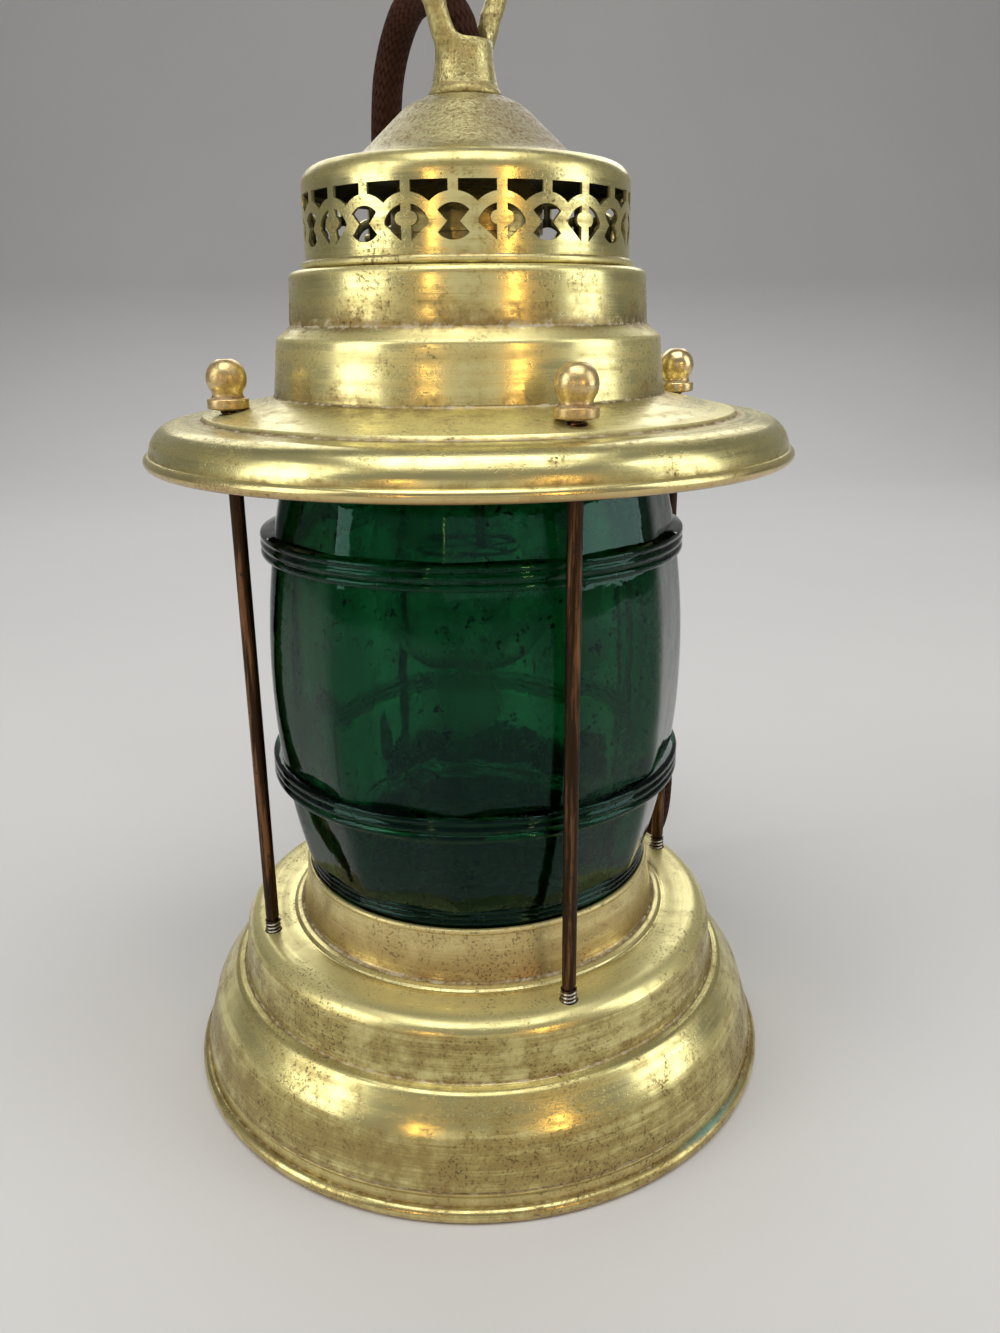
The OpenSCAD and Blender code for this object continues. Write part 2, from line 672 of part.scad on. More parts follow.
module gallery() {
    step = 180 / motif_pairs;
    pitch_w = 2 * gallery_r * tan(step / 2);
    color("darkkhaki") difference() {
        rotate_extrude() {
            translate([gallery_r - hood_sheet, hood_top_z - spigot_h])
                square([hood_sheet, spigot_h + gallery_h]);
            translate([gallery_r, hood_top_z + gallery_bead]) circle(r = gallery_bead);
        }
        translate([0, 0, hood_top_z - spigot_h - 1])
            cylinder(r = gallery_r - hood_sheet, h = spigot_h + gallery_h + 2);
        for (k = [0:motif_pairs - 1]) {
            angle = motif_bearing + 2 * step * k;
            pierced(angle) wide_motif();
            pierced(angle + step) waisted_motif();
            pierced(angle + step / 2) window(pitch_w);
            pierced(angle - step / 2) window(pitch_w);
        }
    }
}

// Dome: a rounded shoulder and a cone, standing on the pierced band
dome_path = rounded([
    [nipple_r + rod_clear, dome_top_z, 0],
    [dome_flat_r, dome_top_z, 2],
    [cone_r, cone_z, 12],
    [gallery_r, dome_corner_z, shoulder_round],
    [gallery_r, gallery_top_z, 0]
], 10);
module dome() {
    color("olive") rotate_extrude() sheet_section(dome_path, hood_sheet);
}

// Hanging loop: a hollow turned neck and a cast ring on two legs
module hanging_loop() {
    neck_path = rounded([
        [0, dome_top_z, 0], [neck_ring_r, dome_top_z, 0.4], [neck_ring_r, dome_top_z + 1.4, 0.6],
        [neck_ring_r - 0.8, dome_top_z + 2, 0], [neck_r, dome_top_z + 7, 8],
        [neck_r, neck_top_z, 1], [0, neck_top_z, 0]
    ], 6);
    // A leg leaves the ring where it is tangent to it, and thickens towards the neck
    root = [arm_root_r, neck_top_z - 1.4];
    to_mid = [-root[0], loop_z - root[1]];
    reach = norm(to_mid);
    leg_len = sqrt(pow(reach, 2) - pow(loop_r, 2));
    leg_angle = atan2(to_mid[1], to_mid[0]) - asin(loop_r / reach);
    touch = leg_angle - 90;
    color("gold") difference() {
        union() {
            rotate_extrude() polygon(neck_path);
            rotate([0, 0, loop_bearing]) {
                translate([0, 0, loop_z]) rotate([90, 0, 0]) rotate([0, 0, touch])
                    rotate_extrude(angle = 180 - 2 * touch) translate([loop_r, 0]) circle(d = arm_d);
                for (s = [0, 1]) mirror([s, 0, 0])
                    translate([root[0], 0, root[1]]) rotate([0, 90 - leg_angle, 0])
                        cylinder(d1 = arm_d + 0.8, d2 = arm_d + 0.2, h = leg_len + 1);
            }
        }
        translate([0, 0, dome_top_z - 1]) cylinder(r = neck_bore_r, h = neck_h + 5);
    }
}

// Lampholder: nipple, locknut, socket and the wires inside it
module loop_nipple() {
    color("goldenrod") translate([0, 0, nipple_foot_z]) difference() {
        cylinder(r = nipple_r, h = nipple_top_z - nipple_foot_z);
        translate([0, 0, -1]) cylinder(r = nipple_bore_r, h = nipple_top_z - nipple_foot_z + 2);
    }
}
module nipple_locknut() {
    color("goldenrod") translate([0, 0, dome_under_z - locknut_h]) difference() {
        cylinder(d = locknut_af / cos(30), h = locknut_h, $fn = 6);
        translate([0, 0, -1]) cylinder(r = nipple_r + thread_fit, h = locknut_h + 2);
    }
}
cord_lead_z = nipple_foot_z - 2;
module cord_lead() {
    color("sienna") translate([0, 0, cord_lead_z]) cylinder(d = cord_d, h = nipple_top_z - cord_lead_z);
}
module lead_wires() {
    top = [1.8, cord_lead_z];
    foot = [terminal_r - terminal_head_r - wire_d / 2 - socket_gap, core_top_z + wire_d / 2 + 0.2];
    run = foot - top;
    color("black") for (s = [0, 1]) mirror([s, 0, 0]) difference() {
        translate([top[0], 0, top[1]]) rotate([0, 90 - atan2(run[1], run[0]), 0])
            translate([0, 0, -2]) cylinder(d = wire_d, h = norm(run) + 2);
        translate([0, 0, top[1]]) cylinder(r = 10, h = 6);
    }
}
socket_cap_r = socket_r + socket_gap + socket_sheet;
socket_cap_path = rounded([
    [nipple_r + thread_fit, nipple_foot_z, 0],
    [socket_r - 2, nipple_foot_z - 1.6, 5],
    [socket_cap_r, socket_top_z + 1.5, 0],
    [socket_cap_r, socket_top_z - 4, 0]
]);
module socket_cap() {
    color("goldenrod") difference() {
        union() {
            rotate_extrude() sheet_section(socket_cap_path, socket_sheet);
            translate([0, 0, nipple_foot_z - socket_sheet / 2])
                cylinder(r = bush_r, h = bush_h + socket_sheet / 2);
        }
        translate([0, 0, nipple_foot_z - 2]) cylinder(r = nipple_r + thread_fit, h = bush_h + 4);
    }
}
module socket_shell() {
    color("goldenrod") translate([0, 0, socket_foot_z]) rotate_extrude() {
        translate([socket_r - socket_sheet, 0]) square([socket_sheet, socket_h]);
        translate([socket_r - socket_sheet / 2, socket_sheet]) circle(r = socket_sheet);
    }
}
module socket_liner() {
    color("dimgray") translate([0, 0, socket_foot_z + 2]) difference() {
        cylinder(r = liner_r, h = socket_h - 2);
        translate([0, 0, -1]) cylinder(r = liner_r - liner_t, h = socket_h);
    }
}
module socket_core() {
    color("white") difference() {
        translate([0, 0, core_z]) cylinder(r = core_r, h = core_h);
        for (s = [-1, 1]) translate([s * terminal_r, 0, core_top_z - 5]) cylinder(r = 1.6, h = 6);
    }
}
module terminal_screws() {
    color("gold") for (s = [-1, 1]) translate([s * terminal_r, 0, 0]) {
        translate([0, 0, core_top_z]) cylinder(r = terminal_head_r, h = terminal_head_h);
        translate([0, 0, core_top_z - 4.6]) cylinder(r = 1.5, h = 4.6);
    }
}
module centre_contact() {
    color("gold") translate([0, 0, contact_z]) {
        cylinder(r = 3, h = contact_h - 0.6);
        translate([0, 0, contact_h - 0.6]) cylinder(r = 4.4, h = 0.6);
    }
}
module screw_shell() {
    color("goldenrod") translate([0, 0, core_z - screw_shell_h]) difference() {
        cylinder(r = screw_shell_r, h = screw_shell_h);
        translate([0, 0, -1]) cylinder(r = bulb_base_r + bulb_fit, h = screw_shell_h + 2);
    }
}

// Bulb: glass envelope, metal screw base, insulator, contact, stem and filament
bulb_path = rounded([
    [bulb_neck_r, bulb_skirt_z + 3, 0], [bulb_neck_r, bulb_skirt_z - 4, 20],
    [bulb_r + 0.2, bulb_mid_z + 8, 22], [bulb_r, bulb_mid_z, 0]
], 10);
bulb_end = [for (k = [1:14]) [bulb_r * cos(90 * k / 14), bulb_mid_z - bulb_r * sin(90 * k / 14)]];
stem_top_z = bulb_skirt_z + 6;
stem_len = 42;
stem_r = bulb_neck_r - bulb_wall - 0.1;
module bulb_glass() {
    outer = concat(bulb_path, bulb_end);
    inner = inset(outer, bulb_wall);
    color("whitesmoke", 0.4) rotate_extrude()
        polygon(concat(outer, [for (p = reversed(inner)) [max(p[0], 0), p[1]]]));
}
module bulb_base() {
    color("silver") translate([0, 0, bulb_skirt_z]) rotate_extrude() {
        translate([bulb_neck_r + 0.05, 0]) square([bulb_base_r - bulb_neck_r - 0.05, bulb_base_h]);
        translate([8, bulb_base_h - 0.5]) square([bulb_base_r - 8, 0.5]);
    }
}
module bulb_insulator() {
    color("black") translate([0, 0, bulb_rim_z]) cylinder(r1 = 11.5, r2 = 5.5, h = bulb_insulator_h);
}
module bulb_contact() {
    color("silver") translate([0, 0, bulb_rim_z + bulb_insulator_h])
        cylinder(r1 = 5, r2 = 3.6, h = bulb_contact_h);
}
module bulb_stem() {
    color("whitesmoke", 0.5) translate([0, 0, bulb_skirt_z + 2.9 - stem_len]) rotate_extrude() polygon([
        [0, 0], [1.6, 0], [1.6, stem_len - 16], [3.4, stem_len - 12], [4, stem_len - 6],
        [stem_r, stem_len - 1], [stem_r, stem_len], [0, stem_len]
    ]);
}
filament_z = bulb_skirt_z + 2.9 - stem_len - 1.5;
filament_r = 12;
module bulb_filament() {
    color("dimgray") {
        translate([0, 0, filament_z]) cylinder(r = 1.8, h = 1.4);
        for (k = [0:5]) rotate([0, 0, 60 * k + 15]) translate([0, 0, filament_z + 0.7])
            rotate([0, 90, 0]) cylinder(r = 0.3, h = filament_r);
        translate([0, 0, filament_z + 0.7]) rotate_extrude()
            translate([filament_r, 0]) circle(r = 0.45, $fn = 24);
    }
}

// Cord: a free stretch from the loop's neck, then a coil of two layers, and a plug
coil_half = coil_turns + 0.25;
function coil_angle(t) = -90 - 360 * t;
function coil_point(t) =
    let (
        r = coil_r - coil_step * (coil_half - abs(t - coil_half)),
        rise = max(0, min(1, 2 * (t - coil_turns)))
    )
    [coil_x + r * cos(coil_angle(t)), coil_y + r * sin(coil_angle(t)), cord_floor_z + coil_lift * rise];
coil_rings = round(48 * coil_half);
coil_last = 2 * coil_half;
coil_end = coil_point(coil_last);
coil_heading = unit(coil_end - coil_point(coil_last - 0.01));
coil_start = coil_point(0);
plug_at = coil_end + coil_heading * plug_lead;
coil_points = concat(
    [coil_start + [cord_d, 0, 0]],
    [for (k = [0:coil_rings]) coil_point(coil_last * k / coil_rings)],
    [plug_at]
);
coil_least = min([for (i = [0:coil_rings], j = [i + 8:1:coil_rings])
    norm(coil_points[i + 1] - coil_points[j + 1])]) - cord_d;
cord_run = [for (i = [1:len(cord_points) - 1]) norm(cord_points[i] - cord_points[i - 1])];
coil_run = [for (i = [1:len(coil_points) - 1]) norm(coil_points[i] - coil_points[i - 1])];
function total(v, i = 0) = i == len(v) ? 0 : v[i] + total(v, i + 1);
echo(coil_least_gap = coil_least, cord_length = total(cord_run) + total(coil_run));
module cord_drop() {
    color("sienna") tube(cord_points, cord_d / 2, 8, [1, 0, 0]);
}
module cord_coil() {
    color("sienna") tube(coil_points, cord_d / 2, 6, [0, 0, 1]);
}
module at_plug() {
    translate(plug_at) rotate([0, 0, atan2(coil_heading[1], coil_heading[0])])
        rotate([0, 90, 0]) children();
}
module plug_body() {
    color("saddlebrown") at_plug() rotate_extrude() polygon(rounded([
        [0, 0, 0], [cord_d / 2 + 1.4, 0, 0.6], [cord_d / 2 + 1.8, plug_len * 0.3, 3],
        [plug_r, plug_len * 0.55, 3], [plug_r, plug_len, 1], [0, plug_len, 0]
    ]));
}
module plug_blades() {
    color("gold") at_plug() for (s = [-1, 1])
        translate([-blade_w / 2, s * blade_pitch / 2 - blade_t / 2, plug_len])
            cube([blade_w, blade_t, blade_len]);
}

base_shell();
globe();
tie_rod_1();
tie_rod_2();
tie_rod_3();
tie_rod_4();
rod_nuts();
canopy();
gallery();
dome();
hanging_loop();
loop_nipple();
nipple_locknut();
cord_lead();
lead_wires();
socket_cap();
socket_shell();
socket_liner();
socket_core();
terminal_screws();
centre_contact();
screw_shell();
bulb_glass();
bulb_base();
bulb_insulator();
bulb_contact();
bulb_stem();
bulb_filament();
ball_nut_1();
ball_nut_2();
ball_nut_3();
ball_nut_4();
cord_drop();
cord_coil();
plug_body();
plug_blades();
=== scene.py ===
"""Looks of the electric ship lantern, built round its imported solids.

Spun and tarnished brass, a panelled green globe, darkened tie rods and a cloth covered
cord. Sizes are in millimetres, in the frame of the solids: +Z up, front -Y, origin under
the middle of the base. They become metres where a mesh is made.
"""

from __future__ import annotations

import json
import logging
import math
from dataclasses import dataclass, field
from enum import Enum
from typing import Callable, Dict, List, Mapping, Optional, Sequence, Tuple, Union

import bmesh
import bpy
from bmesh.types import BMEdge, BMesh, BMVert
from bpy.types import Material, Mesh, NodeSocket, NodeTree, Object
from mathutils import Matrix, Vector

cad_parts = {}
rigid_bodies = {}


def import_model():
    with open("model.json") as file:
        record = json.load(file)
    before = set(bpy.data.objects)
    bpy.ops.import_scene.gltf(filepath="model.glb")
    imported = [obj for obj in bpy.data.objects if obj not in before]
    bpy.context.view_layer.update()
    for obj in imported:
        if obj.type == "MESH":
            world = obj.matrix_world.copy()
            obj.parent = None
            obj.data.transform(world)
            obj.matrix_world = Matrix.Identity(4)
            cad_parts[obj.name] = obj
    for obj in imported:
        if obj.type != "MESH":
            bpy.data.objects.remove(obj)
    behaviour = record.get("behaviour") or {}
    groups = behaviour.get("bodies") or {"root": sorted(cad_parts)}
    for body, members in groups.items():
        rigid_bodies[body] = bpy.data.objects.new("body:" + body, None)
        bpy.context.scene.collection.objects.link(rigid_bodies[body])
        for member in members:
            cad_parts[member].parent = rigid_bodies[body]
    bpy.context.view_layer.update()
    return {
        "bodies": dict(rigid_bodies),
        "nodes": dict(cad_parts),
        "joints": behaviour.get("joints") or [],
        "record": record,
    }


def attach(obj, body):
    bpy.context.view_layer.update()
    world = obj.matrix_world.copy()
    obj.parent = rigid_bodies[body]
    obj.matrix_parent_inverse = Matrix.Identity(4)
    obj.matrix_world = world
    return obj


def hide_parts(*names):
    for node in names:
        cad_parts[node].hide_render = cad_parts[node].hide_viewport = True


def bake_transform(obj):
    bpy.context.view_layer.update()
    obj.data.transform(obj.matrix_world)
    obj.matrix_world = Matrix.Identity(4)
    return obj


LOG = logging.getLogger("lantern")
MM = 0.001
WELD = 1e-6
SHARP = 38.0
ORIGIN = Vector()
Point = Tuple[float, float]
Corner = Tuple[float, float, float]
Colour = Tuple[float, float, float]
Place = Tuple[float, float, float]
Mark = Callable[[Vector], float]


def tone(*screen: int) -> Colour:
    """Give the linear colour of a screen colour, whose channels run from 0 to 255."""
    shares = [value / 255 for value in screen]
    red, green, blue = (s / 12.92 if s <= 0.04045 else ((s + 0.055) / 1.055) ** 2.4 for s in shares)
    return red, green, blue


# ---------------------------------------------------------------------------- shader maths


class Sock:
    """One node output that reads like a number in an expression."""

    def __init__(self, tree: NodeTree, out: NodeSocket) -> None:
        """Keep the tree and the output."""
        self.tree, self.out = tree, out

    def maths(self, operation: str, *values: Value) -> Sock:
        """Add a Math node.

        Args:
            operation: Blender's name of the operation.
            values: what its sockets take, in order.

        Returns:
            The node's result.
        """
        node = self.tree.nodes.new("ShaderNodeMath")
        node.operation = operation
        for socket, value in zip(node.inputs, values):
            plug(socket, value)
        return Sock(self.tree, node.outputs[0])

    def __add__(self, other: Value) -> Sock:
        """Add."""
        return self.maths("ADD", self, other)

    __radd__ = __add__

    def __sub__(self, other: Value) -> Sock:
        """Subtract."""
        return self.maths("SUBTRACT", self, other)

    def __rsub__(self, other: Value) -> Sock:
        """Subtract from a number."""
        return self.maths("SUBTRACT", other, self)

    def __mul__(self, other: Value) -> Sock:
        """Multiply."""
        return self.maths("MULTIPLY", self, other)

    def __pow__(self, other: Value) -> Sock:
        """Raise to a power."""
        return self.maths("POWER", self, other)

    def capped(self) -> Sock:
        """Keep the value from 0 to 1."""
        return self.maths("MINIMUM", self.maths("MAXIMUM", self, 0.0), 1.0)


Value = Union[Sock, float]


def plug(socket: NodeSocket, value: object) -> None:
    """Link an output to a socket, or set the socket's own value.

    Args:
        socket: the input.
        value: a Sock, a number, or a colour.
    """
    if isinstance(value, Sock):
        value.tree.links.new(value.out, socket)
    else:
        socket.default_value = (*value, 1.0) if socket.type == "RGBA" else value


class Bench:
    """The nodes of one material while it is being made."""

    def __init__(self, name: str) -> None:
        """Start a material with one shader on its output."""
        self.material = bpy.data.materials.new(name)
        self.material.use_nodes = True
        self.tree = self.material.node_tree
        self.tree.nodes.clear()
        self.output = self.tree.nodes.new("ShaderNodeOutputMaterial")
        self.shader = self.node("ShaderNodeBsdfPrincipled")
        self.put("Surface", self.shader)

    def put(self, end: str, value: Sock) -> None:
        """Link a shader to one of the material's ends."""
        self.tree.links.new(value.out, self.output.inputs[end])

    def node(
        self,
        kind: str,
        settings: Optional[Mapping[str, object]] = None,
        inputs: Optional[Mapping[Union[str, int], object]] = None,
        out: Union[str, int] = 0,
    ) -> Sock:
        """Add any node.

        Args:
            kind: the node's type.
            settings: its own settings, set first.
            inputs: the values or links of its sockets.
            out: the output to hand back.

        Returns:
            That output.
        """
        made = self.tree.nodes.new(kind)
        for key, value in (settings or {}).items():
            setattr(made, key, value)
        for key, value in (inputs or {}).items():
            plug(made.inputs[key], value)
        return Sock(self.tree, made.outputs[out])

    def place(self) -> Sock:
        """Give the object's own coordinates, in metres."""
        return self.node("ShaderNodeTexCoord", out="Object")

    def axes(self, where: Sock) -> List[Sock]:
        """Split a vector into its three numbers."""
        split = self.node("ShaderNodeSeparateXYZ", inputs={0: where}).out.node
        return [Sock(self.tree, out) for out in split.outputs]

    def vector(self, x: Value, y: Value, z: Value) -> Sock:
        """Join three numbers into a vector."""
        return self.node("ShaderNodeCombineXYZ", inputs={0: x, 1: y, 2: z})

    def noise(self, where: Sock, size: float, detail: float = 3.0, rough: float = 0.55) -> Sock:
        """Give noise from 0 to 1 whose blots are about size across."""
        look = {"Vector": where, "Scale": 1 / (size * MM), "Detail": detail, "Roughness": rough}
        return self.node("ShaderNodeTexNoise", inputs=look)

    def cells(self, where: Sock, size: float) -> Sock:
        """Give the distance to the nearest of many scattered points, in cells of a size."""
        return self.node("ShaderNodeTexVoronoi", inputs={"Vector": where, "Scale": 1 / (size * MM)})

    def step(self, value: Sock, low: float, high: float) -> Sock:
        """Rise smoothly from 0 at low to 1 at high, or fall where low is the larger."""
        return self.node(
            "ShaderNodeMapRange",
            settings={"interpolation_type": "SMOOTHSTEP"},
            inputs={"Value": value, "From Min": low, "From Max": high},
        )

    def mark(self, name: str) -> Sock:
        """Read a mark that was laid on the mesh's points."""
        return self.node("ShaderNodeAttribute", settings={"attribute_name": name}, out="Fac")

    def mix(self, low: object, high: object, share: Value) -> Sock:
        """Mix two colours."""
        colours = {0: share, 6: low, 7: high}
        return self.node("ShaderNodeMix", settings={"data_type": "RGBA"}, inputs=colours, out=2)

    def bump(self, height: Sock, depth: float) -> Sock:
        """Turn a height from 0 to 1 into a bent normal."""
        relief = {"Height": height, "Distance": depth * MM, "Strength": 1.0}
        return self.node("ShaderNodeBump", inputs=relief)

    def dress(self, **sockets: object) -> Material:
        """Set the shader's sockets, named with _ for a space, and give the material."""
        for key, value in sockets.items():
            plug(self.shader.out.node.inputs[key.replace("_", " ")], value)
        return self.material


# -------------------------------------------------------------------------------- finishes


@dataclass(frozen=True)
class AgedBrass:
    """Spun or cast brass with lathe lines, tarnish, specks and crust in its grooves."""

    bright: Colour = tone(224, 214, 150)
    olive: Colour = tone(184, 170, 106)
    brown: Colour = tone(126, 102, 58)
    rose: Colour = tone(190, 152, 108)
    speck: Colour = tone(66, 54, 32)
    weathered: Colour = tone(142, 138, 112)
    crust: Colour = tone(196, 188, 164)
    verdigris: Colour = tone(92, 168, 166)
    # soot: the colour of the painted shade under and inside hollow pieces
    under_shade: Colour = tone(32, 27, 20)
    lines: float = 0.5
    specks: float = 0.68
    pits: float = 0.0
    smooth: float = 0.20
    rough: float = 0.34

    def make(self, name: str) -> Material:
        """Build the material."""
        b = Bench(name)
        where = b.place()
        x, y, z = b.axes(where)
        turned = b.vector((x * x + y * y) ** 0.5, z, (x + y) * 0.03)
        fine = b.noise(turned, 0.45, 2.0)
        coarse = b.noise(turned, 2.6, 3.0)
        cloud = b.noise(where, 30, 4.0, 0.6)
        blot = b.noise(where, 6, 6.0, 0.72)
        groove, edge, rose, stain, rim, under_shade = (
            b.mark(mark) for mark in ("groove", "edge", "rose", "stain", "rim", "under_shade")
        )
        dots = b.step(b.noise(where, 0.7, 2.0, 0.6), 0.55, 0.63)
        drops = b.step(b.cells(where, 1.8), 0.20, 0.10) * b.step(blot, 0.50, 0.64)
        dusty = b.step(cloud * 0.5 + blot * 0.5 + stain * 0.05, 0.46, 0.62)
        specks = ((dots * dusty + drops * 0.6) * self.specks).capped()
        worn = blot * 0.5 + cloud * 0.35 + coarse * 0.55 - 0.2 + stain * 0.10
        tarnish = b.step(worn, 0.38, 0.68)
        scale = blot * 0.65 + coarse * 0.35 + (fine - 0.5) * 0.4 + stain * 0.20
        # grime: brown darkening in grooves and concave corners, part dirt and part painted shade
        grime = b.step(groove + (blot - 0.5) * 0.9, 0.35, 0.85)
        chalk = b.step(groove * b.noise(where, 1.8, 4.0, 0.7), 0.36, 0.52)
        green = b.step(b.noise(turned, 1.6, 3.0, 0.7) * 0.6 + rim * 0.4, 0.44, 0.68) * rim
        # soot: painted shade on the faces that look down or at the axis, made a little uneven
        under_shade = under_shade * (0.7 + cloud * 0.5)
        colour = b.mix(self.bright, self.olive, tarnish)
        for over, share in (
            (self.brown, b.step(scale, 0.52, 0.80) * 0.6),
            (self.rose, (rose * (0.5 + cloud * 0.6)).capped()),
            # edge: worn edges rubbed bright, plus painted highlight lines and painted top light on
            # level faces
            (self.bright, edge * 0.8),
            (self.brown, grime * 0.8),
            (self.speck, specks),
            (self.crust, chalk * 0.7),
            (self.verdigris, green * 0.6),
            (self.under_shade, under_shade.capped()),
        ):
            colour = b.mix(colour, over, share)
        dirt = (chalk * 0.6 + specks * 0.3 + green * 0.5).capped() * 0.7
        metal = 0.90 - tarnish * 0.2 - edge * 0.3 - under_shade * 0.8 - dirt
        rough = tarnish * (self.rough - self.smooth) + self.smooth + specks * 0.2 + grime * 0.15
        rough = rough + (fine + coarse - 1.0) * 0.16 + edge * 0.08
        rough = rough + chalk * 0.3 + green * 0.3 + under_shade * 0.35
        height = (fine + coarse) * (self.lines * 0.5) - specks * 0.8 + chalk * 0.7 + green * 0.5
        if self.pits > 0:
            dull = b.mark("dull")
            eaten = b.step(b.noise(where, 3.0) * 0.5 + cloud * 0.5, 0.40, 0.58)
            pit = b.step(b.cells(where, 1.0), 0.42, 0.16) * eaten * dull
            grain = b.step(b.noise(where, 0.9, 3.0, 0.7), 0.36, 0.64)
            colour = b.mix(colour, self.weathered, dull * 0.65)
            dark = ((1.0 - grain) * dull * 0.6 + pit * self.pits).capped()
            colour = b.mix(colour, self.brown, dark)
            metal = metal - dull * 0.2
            rough = rough + pit * 0.2 + dull * 0.10
            height = height - pit * (self.pits * 2.2) + grain * dull * (2.4 * self.pits)
        return b.dress(
            Base_Color=colour,
            Metallic=metal.capped(),
            Roughness=rough.capped(),
            Normal=b.bump(height, 0.05),
        )


@dataclass(frozen=True)
class DarkRod:
    """Rod that has gone dark brown, with copper showing in streaks and bare threads."""

    dark: Colour = tone(56, 42, 30)
    copper: Colour = tone(138, 98, 66)
    spot: Colour = tone(26, 19, 14)
    bare: Colour = tone(172, 168, 156)

    def make(self, name: str) -> Material:
        """Build the material."""
        b = Bench(name)
        where = b.place()
        x, y, z = b.axes(where)
        streak = b.noise(b.vector(x, y, z * 0.06), 1.6, 4.0, 0.65)
        spots = b.step(b.noise(where, 2.4, 4.0, 0.7), 0.56, 0.68)
        worn = b.step(streak, 0.46, 0.66)
        thread = b.step(b.mark("thread"), 0.40, 0.75)
        colour = b.mix(self.dark, self.copper, worn * 0.8)
        colour = b.mix(colour, self.spot, spots * 0.8)
        return b.dress(
            Base_Color=b.mix(colour, self.bare, thread * 0.9),
            Metallic=1.0 - spots * 0.5,
            Roughness=0.5 - worn * 0.16 + spots * 0.15 - thread * 0.12,
            Normal=b.bump(streak * 0.6 - spots * 0.6, 0.05),
        )


@dataclass(frozen=True)
class GreenGlass:
    """Pressed dark green glass with slight waves, and haze and specks on its inside."""

    tint: Colour = tone(170, 224, 200)
    depth: Colour = tone(63, 188, 149)
    density: float = 440.0
    haze: Colour = tone(196, 200, 156)
    grime: Colour = tone(22, 26, 14)
    # gloss: teal tint on the glass's reflections, a painted reflection of a bluish room
    painted_reflection_tint: Colour = (0.36, 0.80, 0.70)

    def make(self, name: str) -> Material:
        """Build the material."""
        b = Bench(name)
        where = b.place()
        wave = b.noise(where, 16, 2.0)
        ripple = b.noise(where, 3.5, 2.0)
        haze = b.step(b.noise(where, 26, 5.0, 0.62), 0.44, 0.62)
        drops = b.step(b.noise(where, 2.2, 4.0, 0.7), 0.55, 0.62)
        drops = drops * b.step(b.noise(where, 15, 3.0), 0.47, 0.58)
        dirt = ((haze * 0.42 + drops * 0.9) * b.mark("inside")).capped()
        film = {"Base Color": b.mix(self.haze, self.grime, drops), "Roughness": 0.7}
        coat = b.node("ShaderNodeBsdfPrincipled", inputs=film)
        b.put("Surface", b.node("ShaderNodeMixShader", inputs={0: dirt, 1: b.shader, 2: coat}))
        depth = {"Color": self.depth, "Density": self.density}
        b.put("Volume", b.node("ShaderNodeVolumeAbsorption", inputs=depth))
        return b.dress(
            Base_Color=self.tint,
            Roughness=0.02 + dirt * 0.25,
            Transmission_Weight=1.0,
            IOR=1.38,
            Specular_Tint=self.painted_reflection_tint,
            Normal=b.bump(wave * 0.8 + ripple * 0.12, 0.35),
        )


@dataclass(frozen=True)
class ClearGlass:
    """Thin clear bulb glass with a few smudges."""

    tint: Colour = (0.97, 0.98, 0.97)

    def make(self, name: str) -> Material:
        """Build the material."""
        b = Bench(name)
        smudge = b.step(b.noise(b.place(), 9, 4.0), 0.48, 0.72)
        rough = 0.02 + smudge * 0.10
        return b.dress(Base_Color=self.tint, Roughness=rough, Transmission_Weight=1.0, IOR=1.45)


@dataclass(frozen=True)
class ClothBraid:
    """Brown cotton braid: two sets of strands that cross over and under each other."""

    # dark is the braid in the gaps between strands, darkened as painted shade; light is on the
    # strand crowns
    dark: Colour = tone(18, 9, 5)
    light: Colour = tone(68, 37, 21)
    strands: int = 18
    pitch: float = 2.8

    def make(self, name: str) -> Material:
        """Build the material."""
        b = Bench(name)
        where = b.place()
        across = b.mark("around_sin")
        angle = across.maths("ARCTAN2", across, b.mark("around_cos")) * (self.strands / math.tau)
        along = b.mark("along") * (1 / (self.pitch * MM))
        rising, falling = along + angle, along - angle
        cell = rising.maths("FLOOR", rising) + falling.maths("FLOOR", falling)
        top = cell.maths("PINGPONG", cell, 1.0)

        def strand(value: Sock) -> Sock:
            """Give a round strand's height across its width."""
            share = value.maths("FRACT", value)
            return (share * (1.0 - share) * 4.0) ** 0.5

        height = strand(rising) * top + strand(falling) * (1.0 - top)
        fuzz = b.noise(where, 0.35, 2.0)
        wear = b.step(b.noise(where, 12, 4.0), 0.44, 0.70)
        # paler on strand crowns and darker between strands as painted shade; fuzz and wear vary it
        # too
        strand_shade_and_wear = (height * 0.7 + fuzz * 0.45 + wear * 0.25 - 0.25).capped()
        return b.dress(
            Base_Color=b.mix(self.dark, self.light, strand_shade_and_wear),
            Roughness=0.92 - wear * 0.08,
            Normal=b.bump(height + fuzz * 0.25, 0.45),
            Specular_IOR_Level=0.2,
        )


@dataclass(frozen=True)
class Moulded:
    """Moulded or glazed material in one colour, with faint mottling and scuffs."""

    colour: Colour
    mottle: Colour
    rough: float
    metal: float = 0.0
    grain: float = 4.0

    def make(self, name: str) -> Material:
        """Build the material."""
        b = Bench(name)
        where = b.place()
        mottle = b.step(b.noise(where, self.grain, 4.0, 0.65), 0.42, 0.68)
        scuff = b.step(b.noise(where, 1.2, 3.0), 0.56, 0.72)
        return b.dress(
            Base_Color=b.mix(self.colour, self.mottle, mottle),
            Metallic=self.metal,
            Roughness=scuff * 0.18 + self.rough,
            Normal=b.bump(scuff, 0.03),
        )


